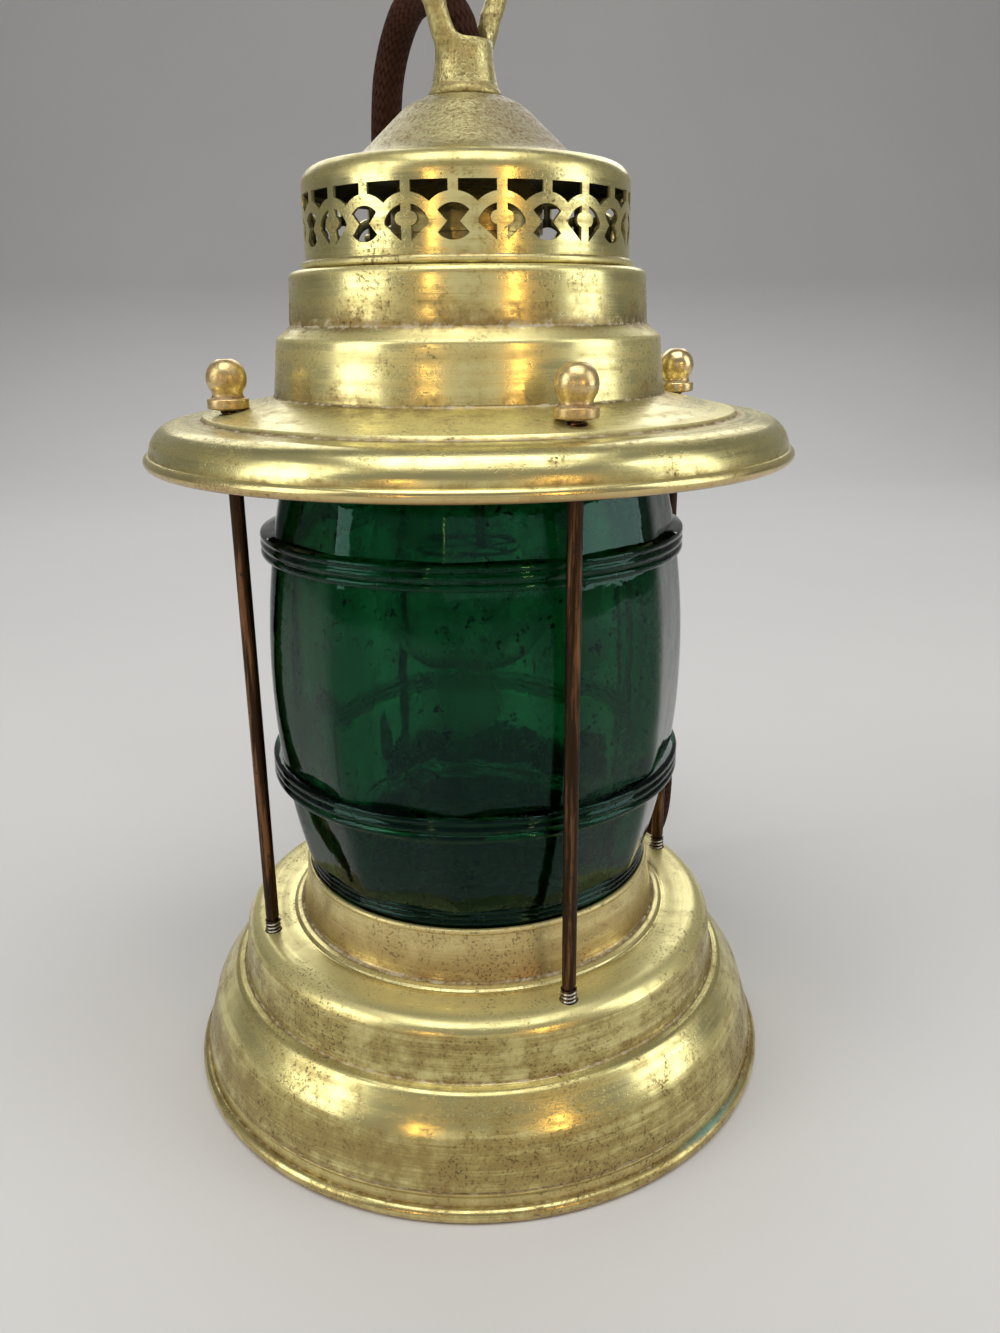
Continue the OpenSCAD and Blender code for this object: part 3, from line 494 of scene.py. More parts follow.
class Paint(Enum):
    """The finishes of the lantern, by the record's slot."""

    AGED_BRASS = AgedBrass()
    DULL_BRASS = AgedBrass(specks=0.5, pits=0.8, smooth=0.24, lines=0.3)
    CAST_BRASS = AgedBrass(
        bright=tone(222, 212, 148),
        weathered=tone(190, 180, 122),
        lines=0.15,
        specks=0.7,
        smooth=0.24,
        pits=0.7,
    )
    BRIGHT_BRASS = AgedBrass(
        bright=tone(222, 200, 146),
        olive=tone(198, 170, 114),
        brown=tone(140, 106, 66),
        specks=0.35,
        lines=0.3,
        smooth=0.24,
        rough=0.40,
    )
    INNER_BRASS = AgedBrass(bright=tone(210, 184, 112), specks=0.3, lines=0.4)
    DARK_ROD = DarkRod()
    GREEN_GLASS = GreenGlass()
    CLEAR_GLASS = ClearGlass()
    BULB_METAL = Moulded(tone(196, 196, 198), tone(170, 170, 172), 0.32, 1.0)
    FILAMENT = Moulded(tone(90, 90, 94), tone(70, 70, 74), 0.5, 1.0)
    BLACK_INSULATOR = Moulded(tone(18, 18, 20), tone(28, 28, 32), 0.2)
    PORCELAIN = Moulded(tone(232, 228, 216), tone(222, 216, 200), 0.2)
    FIBRE = Moulded(tone(92, 80, 66), tone(74, 64, 54), 0.8, 0.0, 1.5)
    CLOTH_CORD = ClothBraid()
    WIRE_COVER = Moulded(tone(24, 24, 24), tone(38, 37, 36), 0.7)
    PLUG_PLASTIC = Moulded(tone(56, 32, 22), tone(86, 52, 34), 0.34)

    @property
    def slot(self) -> str:
        """Give the record's name of the slot."""
        return self.name.lower()


# ------------------------------------------------------------------------------- workshop


def clamp(value: float) -> float:
    """Keep a number from 0 to 1."""
    return max(0.0, min(1.0, value))


def aside(point: Vector, axis: Vector = ORIGIN) -> float:
    """Give a point's distance from an upright axis, by default the lantern's own."""
    return math.hypot(point.x - axis.x, point.y - axis.y)


def bearing(angle: float, radius: float) -> Vector:
    """Give the place on a circle, in metres, at a bearing in degrees."""
    turn = math.radians(angle)
    return Vector((radius * MM * math.cos(turn), radius * MM * math.sin(turn), 0))


def rounded(corners: Sequence[Corner], arcs: int = 10) -> List[Point]:
    """Round the corners of a path.

    Args:
        corners: radius, height and fillet of each corner; the ends stay sharp.
        arcs: pieces in each fillet.

    Returns:
        The points of the path.
    """
    path: List[Point] = []
    for index, (r, z, fillet) in enumerate(corners):
        here = Vector((r, z))
        if index in (0, len(corners) - 1) or fillet == 0:
            path.append((r, z))
            continue
        back = (Vector(corners[index - 1][:2]) - here).normalized()
        on = (Vector(corners[index + 1][:2]) - here).normalized()
        half = back.angle(on) / 2
        middle = here + (back + on).normalized() * (fillet / math.sin(half))
        start = here + back * (fillet / math.tan(half)) - middle
        turn = start.angle_signed(here + on * (fillet / math.tan(half)) - middle)
        first = math.atan2(start.y, start.x)
        for angle in (first - turn * k / arcs for k in range(arcs + 1)):
            path.append((middle.x + fillet * math.cos(angle), middle.y + fillet * math.sin(angle)))
    return path


def sheet(path: Sequence[Point], thickness: float) -> List[Point]:
    """Give the closed section of a sheet whose outer face follows a path, to its left."""
    inner: List[Point] = []
    points = [Vector(p) for p in path]
    for i, here in enumerate(points):
        first, last = max(i, 1), min(i, len(points) - 2)
        a = (points[first] - points[first - 1]).normalized()
        c = (points[last + 1] - points[last]).normalized()
        side = Vector((a.y, -a.x))
        mean = (side + Vector((c.y, -c.x))).normalized()
        inner.append(tuple(here + mean * (thickness / mean.dot(side))))
    return list(path) + inner[::-1]


def ring(r: float, z: float, across: float, arcs: int = 20) -> List[Point]:
    """Give the closed round section of a bead."""
    turns = [math.tau * k / arcs for k in range(arcs)]
    return [(r + across / 2 * math.cos(t), z + across / 2 * math.sin(t)) for t in turns]


def opened(made: Object) -> BMesh:
    """Open a piece's mesh for a change."""
    bm = bmesh.new()
    bm.from_mesh(made.data)
    return bm


def written(bm: BMesh, mesh: Mesh) -> Mesh:
    """Write a changed mesh back, and free it."""
    bm.to_mesh(mesh)
    bm.free()
    return mesh


def shade(mesh: Mesh, sharp: float = SHARP) -> None:
    """Make a mesh smooth but for edges over the angle sharp, in degrees."""
    mesh.polygons.foreach_set("use_smooth", [True] * len(mesh.polygons))
    mesh.set_sharp_from_angle(angle=math.radians(sharp))


def enter(name: str, data: bpy.types.ID) -> Object:
    """Put an object with some data in the scene."""
    made = bpy.data.objects.new(name, data)
    bpy.context.scene.collection.objects.link(made)
    return made


def to_object(bm: BMesh, name: str, sharp: float = SHARP) -> Object:
    """Make a smooth object of a mesh.

    Args:
        bm: the mesh, which is freed.
        name: the piece's name.
        sharp: edges over this angle, in degrees, stay sharp.

    Returns:
        The object, in the scene.
    """
    mesh = written(bm, bpy.data.meshes.new(name))
    shade(mesh, sharp)
    return enter(name, mesh)


def close_up(bm: BMesh) -> None:
    """Merge doubles and turn all faces of one closed form outwards."""
    bmesh.ops.remove_doubles(bm, verts=bm.verts, dist=WELD)
    bmesh.ops.recalc_face_normals(bm, faces=bm.faces)
    if bm.calc_volume(signed=True) < 0:
        bmesh.ops.reverse_faces(bm, faces=bm.faces)


def spin(
    bm: BMesh, section: Sequence[Point], steps: int, closed: bool = True, rise: float = 0.0
) -> None:
    """Turn one section about the Z axis.

    Args:
        bm: the mesh that takes it.
        section: radius and height of its points.
        steps: pieces in the full turn.
        closed: whether the section ends where it starts.
        rise: climb in the full turn, for a screw thread.
    """
    form = bmesh.new()
    verts = [form.verts.new((r * MM, 0, z * MM)) for r, z in section]
    edges = [form.edges.new(ends) for ends in zip(verts, verts[1:] + verts[: int(closed)])]
    bmesh.ops.spin(
        form,
        geom=verts + edges,
        axis=(0, 0, 1),
        dvec=(0, 0, rise * MM / steps),
        angle=math.tau,
        steps=steps,
        use_merge=rise == 0,
    )
    close_up(form)
    mesh = written(form, bpy.data.meshes.new("form"))
    bm.from_mesh(mesh)
    bpy.data.meshes.remove(mesh)


def cone(bm: BMesh, frame: Matrix, radii: Point, reach: Point, sides: int) -> None:
    """Add a closed cone along the Z axis of a frame.

    Args:
        bm: the mesh that takes it.
        frame: the frame, in metres.
        radii: the radii at its ends.
        reach: where it starts and ends.
        sides: its number of sides.
    """
    bmesh.ops.create_cone(
        bm,
        cap_ends=True,
        segments=sides,
        radius1=radii[0] * MM,
        radius2=radii[1] * MM,
        depth=(reach[1] - reach[0]) * MM,
        matrix=frame @ Matrix.Translation((0, 0, sum(reach) / 2 * MM)),
    )


def evaluated(made: Object) -> None:
    """Apply a piece's modifiers to its mesh."""
    graph = bpy.context.evaluated_depsgraph_get()
    mesh = bpy.data.meshes.new_from_object(made.evaluated_get(graph))
    made.modifiers.clear()
    made.data = mesh


def melted(made: Object, voxel: float) -> None:
    """Melt the forms of a piece into one skin of small even faces."""
    melt = made.modifiers.new("melt", "REMESH")
    melt.mode, melt.voxel_size = "VOXEL", voxel * MM
    evaluated(made)


def drill(
    made: Object,
    places: Sequence[Vector],
    across: float,
    reach: Point,
    rings: Sequence[Tuple[Sequence[Point], int]] = (),
) -> None:
    """Drill upright holes in one closed form, then join turned rings to it.

    Args:
        made: the piece.
        places: the holes' places.
        across: their diameter.
        reach: where they start and end.
        rings: section and steps of each ring.
    """
    bm = bmesh.new()
    for place in places:
        cone(bm, Matrix.Translation(place), (across / 2, across / 2), reach, 32)
    bit = to_object(bm, "drill")
    holes = made.modifiers.new("holes", "BOOLEAN")
    holes.operation, holes.solver, holes.object = "DIFFERENCE", "EXACT", bit
    evaluated(made)
    bpy.data.objects.remove(bit)
    bm = opened(made)
    close_up(bm)
    for section, steps in rings:
        spin(bm, section, steps)
    shade(written(bm, made.data))


def near(places: Sequence[Point], reach: float) -> Mark:
    """Give a mark that is 1 at rings of radius and height, and 0 beyond reach."""

    def value(point: Vector) -> float:
        """Measure one point."""
        r = aside(point)
        return clamp(1 - min(math.hypot(r - a, point.z - z) for a, z in places) / reach) ** 1.5

    return value


def lay_marks(made: Object, **marks: Mark) -> None:
    """Write values on the points of a piece.

    Args:
        made: the piece.
        marks: by the mark's name, what gives it for a point in millimetres.
    """
    for name, value in marks.items():
        mark = made.data.attributes.new(name, "FLOAT", "POINT")
        mark.data.foreach_set("value", [value(v.co / MM) for v in made.data.vertices])


def lay_under_shade(made: Object, lean: float = -0.35) -> None:
    """Mark the points of a hollow piece that look at its axis or down, for painted shade."""
    under_shade = []
    for vert in made.data.vertices:
        out = Vector((vert.co.x, vert.co.y, 0)).normalized()
        under_shade.append(1.0 if vert.normal.dot(out) + vert.normal.z < lean else 0.0)
    made.data.attributes.new("under_shade", "FLOAT", "POINT").data.foreach_set("value", under_shade)


class Workshop:
    """Finishes that are made once, and the way pieces join the lantern."""

    def __init__(self, nodes: Mapping[str, Object]) -> None:
        """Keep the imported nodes."""
        self.nodes = nodes
        self.made: Dict[Paint, Material] = {}

    def paint(self, made: Object, paint: Paint) -> None:
        """Give a piece a finish."""
        if paint not in self.made:
            self.made[paint] = paint.value.make(paint.slot)
        made.data.materials.clear()
        made.data.materials.append(self.made[paint])
        paint.slot

    def fit(self, made: Object, paint: Paint, body: str, *nodes: str) -> Object:
        """Dress a piece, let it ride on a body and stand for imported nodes.

        Args:
            made: the piece.
            paint: its finish.
            body: the body that it rides on.
            nodes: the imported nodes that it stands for.

        Returns:
            The piece.
        """
        self.paint(made, paint)
        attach(made, body)
        if nodes:
            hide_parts(*nodes)
        LOG.info("%s rides on %s", made.name, body)
        return made

    def copy(self, node: str, name: str, sharp: float = 30.0) -> Object:
        """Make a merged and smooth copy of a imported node."""
        bm = opened(self.nodes[node])
        bmesh.ops.remove_doubles(bm, verts=bm.verts, dist=WELD)
        return to_object(bm, name, sharp)


# ------------------------------------------------------------------------------ the studio


@dataclass
class Studio:
    """Camera at the photograph's place, a pale floor and soft light, in metres but for the eye."""

    focal: float = 28.87
    sensor: float = 36.0
    eye: Place = (0.0, -263.8, 191.8)
    pitch: float = 18.21
    yaw: float = 1.43
    roll: float = -0.54
    aim: Place = (0, 0, 0.13)
    side: float = 9.0
    back: float = 1.9
    wall: float = 5.0
    bend: float = 0.9
    sky: Tuple[float, float, float, float] = (0.78, 0.80, 0.83, 1)
    sky_level: float = 0.26
    white: Colour = (1.0, 1.0, 1.0)
    amber: Colour = (1.0, 0.58, 0.18)

    def camera(self) -> None:
        """Make the scene's camera."""
        data = bpy.data.cameras.new("camera")
        data.lens, data.sensor_width = self.focal, self.sensor
        data.clip_start, data.clip_end = 0.01, 50.0
        p, w, q = (math.radians(v) for v in (self.pitch, self.yaw, self.roll))
        ahead = Vector((math.sin(w) * math.cos(p), math.cos(w) * math.cos(p), -math.sin(p)))
        level = Vector((math.cos(w), -math.sin(w), 0))
        above = level.cross(ahead)
        right = level * math.cos(q) + above * math.sin(q)
        up = above * math.cos(q) - level * math.sin(q)
        turn = Matrix((right, up, -ahead)).transposed().to_4x4()
        eye = enter("camera", data)
        eye.matrix_world = Matrix.Translation(Vector(self.eye) * MM) @ turn
        bpy.context.scene.camera = eye

    def floor(self) -> None:
        """Make the floor and the backdrop in one swept sheet."""
        bm = bmesh.new()
        side, back = self.side, self.back
        corners = ((-side, -side), (side, -side), (side, back), (-side, back))
        bm.faces.new([bm.verts.new((x, y, 0)) for x, y in corners])
        fold = [e for e in bm.edges if all(v.co.y > 1 for v in e.verts)]
        wall = bmesh.ops.extrude_edge_only(bm, edges=fold)["geom"]
        top = [v for v in wall if isinstance(v, BMVert)]
        bmesh.ops.translate(bm, verts=top, vec=(0, 0, self.wall))
        bmesh.ops.bevel(
            bm,
            geom=fold,
            offset=self.bend,
            affect="EDGES",
            segments=16,
            profile=0.5,
            material=-1,
            clamp_overlap=False,
        )
        sweep = to_object(bm, "floor", 180)
        b = Bench("floor")
        pale = b.mix(tone(198, 197, 195), tone(206, 205, 203), b.noise(b.place(), 300, 3.0))
        sweep.data.materials.append(b.dress(Base_Color=pale, Roughness=0.9))

    def lamp(self, name: str, place: Place, size: Point, watts: float, colour: Colour) -> None:
        """Make one soft box that faces the lantern's middle."""
        data = bpy.data.lights.new(name, "AREA")
        data.shape = "RECTANGLE"
        data.size, data.size_y = size
        data.energy, data.color = watts, colour
        lamp = enter(name, data)
        lamp.visible_camera = False
        lamp.location = place
        way = Vector(self.aim) - Vector(place)
        lamp.rotation_euler = way.to_track_quat("-Z", "Y").to_euler()

    def build(self) -> None:
        """Set up the whole studio."""
        scene = bpy.context.scene
        scene.view_settings.view_transform = "Standard"
        self.camera()
        self.floor()
        self.lamp("window_left", (-1.0, -0.45, 0.60), (0.60, 1.0), 5.5, (1.0, 0.99, 0.95))
        self.lamp("window_right", (1.05, -0.25, 0.55), (0.55, 1.0), 4.5, (0.97, 0.99, 1.0))
        self.lamp("ceiling", (0.0, -0.35, 1.45), (1.3, 1.0), 12.0, self.white)
        self.lamp("back", (0.0, 1.15, 0.92), (1.6, 0.8), 7.0, self.white)
        self.lamp("front", (0.0, -1.7, 0.42), (1.4, 0.5), 1.0, (1.0, 0.98, 0.94))
        self.lamp("warm_left", (-0.40, -0.95, 0.34), (0.035, 0.30), 0.5, self.amber)
        self.lamp("warm_right", (0.46, -0.86, 0.34), (0.055, 0.30), 0.8, self.amber)
        world = bpy.data.worlds.new("studio")
        world.use_nodes = True
        sky = world.node_tree.nodes["Background"].inputs
        sky["Color"].default_value, sky["Strength"].default_value = self.sky, self.sky_level
        scene.world = world
        LOG.info("studio ready")


# ------------------------------------------------------------------------- the sub-assemblies


@dataclass
class Base:
    """Spun base with a beaded foot, a bulging skirt, a shoulder and a collar."""

    foot_r: float = 77.6
    bead: float = 3.6
    flat: float = 0.2
    band_h: float = 6.8
    skirt_h: float = 27.0
    knee: Corner = (72.2, 19.0, 16.0)
    waist_r: float = 64.0
    shoulder_r: float = 62.4
    shoulder_z: float = 41.2
    collar_r: float = 47.6
    lip_r: float = 45.7
    lip_z: float = 54.4
    lip_bead: float = 1.6
    seat_z: float = 49.0
    seat_r: Point = (36.0, 45.9)
    thickness: float = 1.0
    hole: float = 4.4
    hole_z: Point = (36, 46)
    steps: int = 256

    def path(self) -> List[Point]:
        """Give the outer face from the lip to the foot."""
        foot, band, collar, level = self.foot_r - 2.2, self.band_h, self.collar_r, self.shoulder_z
        return rounded(
            [
                (self.lip_r, self.lip_z, 0),
                (collar - 0.1, level + 0.9, 1.6),
                (collar + 1.9, level + 0.6, 0.9),
                (collar + 2.6, level, 0.9),
                *((r, level, 0.0) for r in (52.0, 53.6, 55.2)),
                (self.shoulder_r, level, 5.2),
                (self.waist_r, self.skirt_h, 1.0),
                (self.waist_r + 2.6, self.skirt_h - 0.6, 2.5),
                self.knee,
                (foot, band + 0.5, 0),
                (foot - 0.5, band, 0.2),
                (foot, band - 0.5, 0),
                (foot - 0.5, band - 1.6, 0),
                (self.foot_r - self.bead / 2, self.bead / 2 - self.flat, 0),
            ]
        )

    def build(self, shop: Workshop, rods: Rods) -> None:
        """Make the base and dress it."""
        bm = bmesh.new()
        spin(bm, sheet(self.path(), self.thickness), self.steps)
        made = to_object(bm, "base")
        foot = ring(self.foot_r - self.bead / 2, self.bead / 2 - self.flat, self.bead)
        (hole, rim), top, low = self.seat_r, self.seat_z, self.seat_z - self.thickness
        rings = [
            ([(r, max(z, 0.0)) for r, z in foot], self.steps),
            (ring(self.lip_r - self.thickness / 2, self.lip_z, self.lip_bead), 192),
            ([(hole, low), (rim, low), (rim, top), (hole, top)], 128),
        ]
        places = rods.places()
        drill(made, places, self.hole, self.hole_z, rings)
        collar, level = self.collar_r, self.shoulder_z
        # grooves: crust and brown darkening in the concave corners; the darkening is partly painted
        # shade
        grooves = [
            (collar + 0.4, level + 1.2),
            (self.waist_r, self.skirt_h),
            (self.foot_r - 2.7, self.band_h),
            (self.foot_r - 2.0, 3.6),
        ]
        # worn: rubbed edges, which also carry a painted highlight line
        worn = [
            (self.shoulder_r - 1.8, level - 1.2),
            (self.lip_r, self.lip_z + 0.6),
            (collar + 1.4, level + 0.7),
            (self.foot_r - 2.4, self.band_h - 0.9),
        ]
        edge, under = near(worn, 1.8), near([(self.foot_r - 1.2, 0.8)], 2.4)

        def rubbed_and_lit(point: Vector) -> float:
            """Mark worn edges, rubbed bright with a painted highlight, and the level shoulder with
            the rings round the rods, painted lighter as light from above.
            """
            gap = min(aside(point, place / MM) for place in places)
            flat = clamp(1 - abs(point.z - level) / 3) if aside(point) >= collar + 3 else 0.0
            return max(edge(point), flat * max(1 - abs(gap - 2.8) / 1.8, 0.85))

        lay_marks(
            made,
            groove=near(grooves, 2.0),
            edge=rubbed_and_lit,
            rose=lambda point: max(under(point), self.blush(point)),
            stain=self.stain,
            rim=self.rim,
        )
        shop.fit(made, Paint.AGED_BRASS, "base", "base_shell")

    def stain(self, point: Vector) -> float:
        """Mark the lower skirt, the wall and the collar, which are browner; the skirt more so
        towards the bottom.
        """
        if aside(point) < self.collar_r + 0.5:
            return 0.9
        if self.skirt_h < point.z < self.shoulder_z - 2.5:
            return 0.7
        return clamp((self.skirt_h - 4 - point.z) / 8)

    def blush(self, point: Vector) -> float:
        """Mark the collar and the shoulder's inner edge, where the brass went rosy."""
        above = point.z > self.shoulder_z - 0.5
        return 0.45 * clamp((self.collar_r + 3.5 - aside(point)) / 3) if above else 0.0

    def rim(self, point: Vector) -> float:
        """Mark the foot's rim at the front right, where it went green."""
        top = clamp(1 - math.hypot(aside(point) - self.foot_r + 1.6, point.z - 3.2) / 1.7)
        turn = math.degrees(math.atan2(point.y, point.x))
        return clamp(1.6 * top) * clamp(1 - abs(turn + 44) / 26)


@dataclass
class Rods:
    """Four tie rods with their nuts: hexagons under the base and balls on the hood."""

    first: float = -69.0
    circle_r: float = 57.0
    count: int = 4
    across: float = 3.3
    thread: float = 3.9
    pitch: float = 1.0
    foot_z: float = 35.8
    thread_top_z: float = 45.4
    top_thread_h: float = 12.0
    thread_root: float = 0.4
    taper: float = 0.6
    top_z: float = 179.1
    nut_z: float = 172.9
    ball_r: float = 4.4
    ball_h: float = 6.6
    neck_r: float = 3.6
    neck_h: float = 1.6
    flange_r: float = 4.55
    flange_h: float = 2.1
    bore_r: float = 2.03
    bore_h: float = 7.6
    droop: float = 0.6

    def places(self) -> List[Vector]:
        """Give the rods' places round the lantern."""
        turns = [self.first + 360 * k / self.count for k in range(self.count)]
        return [bearing(turn, self.circle_r) for turn in turns]

    def thread_on(self, bm: BMesh, low: float, high: float) -> None:
        """Cut a screw thread: a toothed edge that rises one pitch in each turn."""
        teeth = int((high - low) / self.pitch)
        radii = (self.thread / 2, self.thread / 2 - 0.5)
        edge = [(radii[k % 2], low + self.pitch * (k / 2 - 1)) for k in range(2 * teeth + 1)]
        spin(bm, edge, 24, closed=False, rise=self.pitch)

    def build(self, shop: Workshop) -> None:
        """Make the rods and the ball nuts, and dress all nuts."""
        core, body = self.thread / 2 - self.thread_root, self.across / 2
        foot, start, top = self.foot_z, self.thread_top_z, self.top_z
        end, taper = top - self.top_thread_h, self.taper
        section = [
            (0, foot),
            (core, foot),
            (core, start - taper),
            (body, start),
            (body, end),
            (core, end + taper),
            (core, top),
            (0, top),
        ]
        for k, place in enumerate(self.places(), 1):
            bm = bmesh.new()
            spin(bm, section, 32, closed=False)
            self.thread_on(bm, foot + 0.8, start)
            self.thread_on(bm, end + 0.4, top - 0.6)
            bmesh.ops.translate(bm, verts=bm.verts, vec=place)
            made = to_object(bm, f"rod_{k}", 45)
            lay_marks(made, thread=lambda point, at=place / MM: self.crest(point, at))
            shop.fit(made, Paint.DARK_ROD, "base", f"tie_rod_{k}")
            self.ball(shop, k, place)
        shop.fit(shop.copy("rod_nuts", "base_nuts"), Paint.INNER_BRASS, "base", "rod_nuts")

    def crest(self, point: Vector, at: Vector) -> float:
        """Mark the crests of a rod's lower thread, which stayed bare."""
        return float(point.z < self.thread_top_z and aside(point, at) > self.thread / 2 - 0.1)

    def ball(self, shop: Workshop, k: int, place: Vector) -> None:
        """Make one ball nut on its flange."""
        r, neck, flange, bore = self.ball_r, self.neck_r, self.flange_r, self.bore_r
        seat, top = self.flange_h, self.flange_h + self.neck_h + self.ball_h
        waist = self.flange_h + self.neck_h
        middle = waist + math.sqrt(r * r - neck * neck)
        low, high = math.asin((waist - middle) / r), math.asin((top - middle) / r)
        arc = [low + (high - low) * i / 24 for i in range(25)]
        foot = [(bore, -self.droop, 0), (flange, -0.1, 0.3), (flange, seat, 0.6), (neck, seat, 0)]
        hollow = [(neck, seat, 0), (neck - 0.35, seat + 0.8, 0.8), (neck, waist, 0)]
        section = [(0, self.bore_h), (bore, self.bore_h)] + rounded(foot, 6)
        section += rounded(hollow, 5)[1:]
        section += [(r * math.cos(t), middle + r * math.sin(t)) for t in arc] + [(0, top)]
        bm = bmesh.new()
        spin(bm, section, 64, closed=False)
        bmesh.ops.translate(bm, verts=bm.verts, vec=place + Vector((0, 0, self.nut_z * MM)))
        made = to_object(bm, f"ball_{k}", 50)

        def groove(point: Vector) -> float:
            """Mark the corner between ball and flange and the flange's foot, darkened as painted
            shade.
            """
            up = point.z - self.nut_z
            gap = math.hypot(aside(point, place / MM) - neck, up - seat)
            return max(1 - gap / 1.3, 0.6 * max(0.0, 1 - up / 0.8))

        lay_marks(made, groove=groove)
        shop.fit(made, Paint.BRIGHT_BRASS, f"nut_{k}", f"ball_nut_{k}")


@dataclass
class Globe:
    """Pressed glass barrel: panels curved only upright, ridged hoops, round foot and collar."""

    seat_z: float = 49.0
    height: float = 123.6
    corner_r: float = 53.0
    middle_h: float = 60.6
    curve: float = 190.0
    panels: int = 12
    first: float = -6.0
    wall: float = 4.0
    foot_r: float = 44.0
    foot_h: float = 10.8
    neck_r: float = 48.2
    neck_h: float = 17.0
    hoops: Tuple[float, float] = (35.0, 91.6)
    hoop_h: float = 6.0
    proud: float = 1.4
    ridges: int = 3
    foot_plain_h: float = 6.6
    foot_proud: float = 1.0
    blunt: float = 0.35
    soft: float = 0.35
    corner_soft: float = 0.25

    @property
    def top_z(self) -> float:
        """Give the height of the glass's top."""
        return self.seat_z + self.height

    @property
    def flatness(self) -> float:
        """Give a panel's distance from the axis as a share of its corners'."""
        return math.cos(math.pi / self.panels)

    def barrel(self, z: float) -> float:
        """Give the radius at the panels' corners."""
        rise = z - self.seat_z - self.middle_h
        return self.corner_r - self.curve + math.sqrt(self.curve**2 - rise**2)

    def blend(self, radii: Sequence[float]) -> float:
        """Take the largest radius, with a small fillet where two are close."""
        top = max(radii)
        total = sum(math.exp((r - top) / self.soft) for r in radii)
        return top + self.soft * math.log(total) * 0.5

    def ridge(self, z: float, middle: float, height: float, outer: float) -> float:
        """Give the radius of a ridged hoop, or 0 away from it."""
        if abs(z - middle) >= height / 2:
            return 0.0
        small = height / self.ridges / 2
        off = (z - middle + height / 2) % (2 * small) - small
        return outer - small + math.sqrt(max(small * small - off * off, 0.0)) * 0.9

    def outer(self, z: float, turn: float) -> float:
        """Give the outside radius at a height and a bearing in degrees."""
        pitch = 360 / self.panels
        off = math.radians((turn - self.first) % pitch - pitch / 2)
        parts = []
        low, high = self.seat_z + self.foot_h, self.top_z - self.neck_h
        if low < z < high + 2:
            corner, soft = self.barrel(z), self.corner_soft
            flat = corner * self.flatness / math.cos(off)
            limit = corner - self.blunt
            parts.append(limit - soft * math.log(math.exp(limit / soft - flat / soft) + 1))
        if z <= low:
            ridged, proud = self.foot_h - self.foot_plain_h, self.foot_r + self.foot_proud
            parts += [self.foot_r, self.ridge(z, low - ridged / 2, ridged, proud)]
        if z >= high:
            parts.append(self.neck_r)
        for middle in (self.seat_z + hoop for hoop in self.hoops):
            parts.append(self.ridge(z, middle, self.hoop_h, self.barrel(middle) + self.proud))
        return self.blend([p for p in parts if p > 0])

    def heights(self) -> List[float]:
        """Give the heights of the outside's rings, closer together on hoops and ends."""
        seat, top, neck = self.seat_z, self.top_z, self.top_z - self.neck_h
        marks = {seat, seat + 0.5, top - 0.5, top}
        zones = [(seat + 5.5, seat + self.foot_h + 1, 0.2), (neck - 2.5, neck + 3, 0.4)]
        reach = self.hoop_h / 2 + 1.2
        zones += [(seat + hoop - reach, seat + hoop + reach, 0.28) for hoop in self.hoops]
        zones.append((seat, top, self.height / 54))
        for low, high, gap in zones:
            count = round((high - low) / gap)
            marks.update(low + (high - low) * i / count for i in range(count + 1))
        kept: List[float] = []
        for z in sorted(marks):
            if not kept or z - kept[-1] > 0.12:
                kept.append(z)
        return kept

    def bore(self) -> List[Point]:
        """Give the inside from top to foot."""
        seat, top = self.seat_z, self.top_z
        neck, foot = self.neck_r - self.wall, self.foot_r - self.wall
        path = [(neck - 0.3, top), (neck, top - 0.6), (neck, top - self.neck_h + 6)]
        low, high = seat + self.foot_h / 2, top - self.neck_h + 2
        rings = [high + (low - high) * i / 40 for i in range(41)]
        path += [(self.barrel(z) * self.flatness - self.wall, z) for z in rings]
        return path + [(foot, seat + 0.6), (foot + 0.3, seat)]

    def build(self, shop: Workshop) -> None:
        """Make the globe and dress it."""
        heights = self.heights()
        outside = [(self.neck_r, z) for z in heights]
        outside[0] = (self.foot_r - 0.5, heights[0])
        outside[-1] = (self.neck_r - 0.6, heights[-1])
        bm = bmesh.new()
        spin(bm, outside + self.bore(), 20 * self.panels)
        for vert in bm.verts:
            r, z = aside(vert.co) / MM, vert.co.z / MM
            if abs(r - self.neck_r) < 1e-3 and heights[0] < z < heights[-1]:
                grow = self.outer(z, math.degrees(math.atan2(vert.co.y, vert.co.x))) / r
                vert.co.x *= grow
                vert.co.y *= grow
        made = to_object(bm, "glass_globe", 50)

        def inside(point: Vector) -> float:
            """Mark the inside wall."""
            wall = max(self.barrel(point.z) * self.flatness - self.wall + 0.8, self.foot_r - 3.4)
            return float(aside(point) < min(wall, 49.0))

        lay_marks(made, inside=inside)
        shop.fit(made, Paint.GREEN_GLASS, "base", "globe")


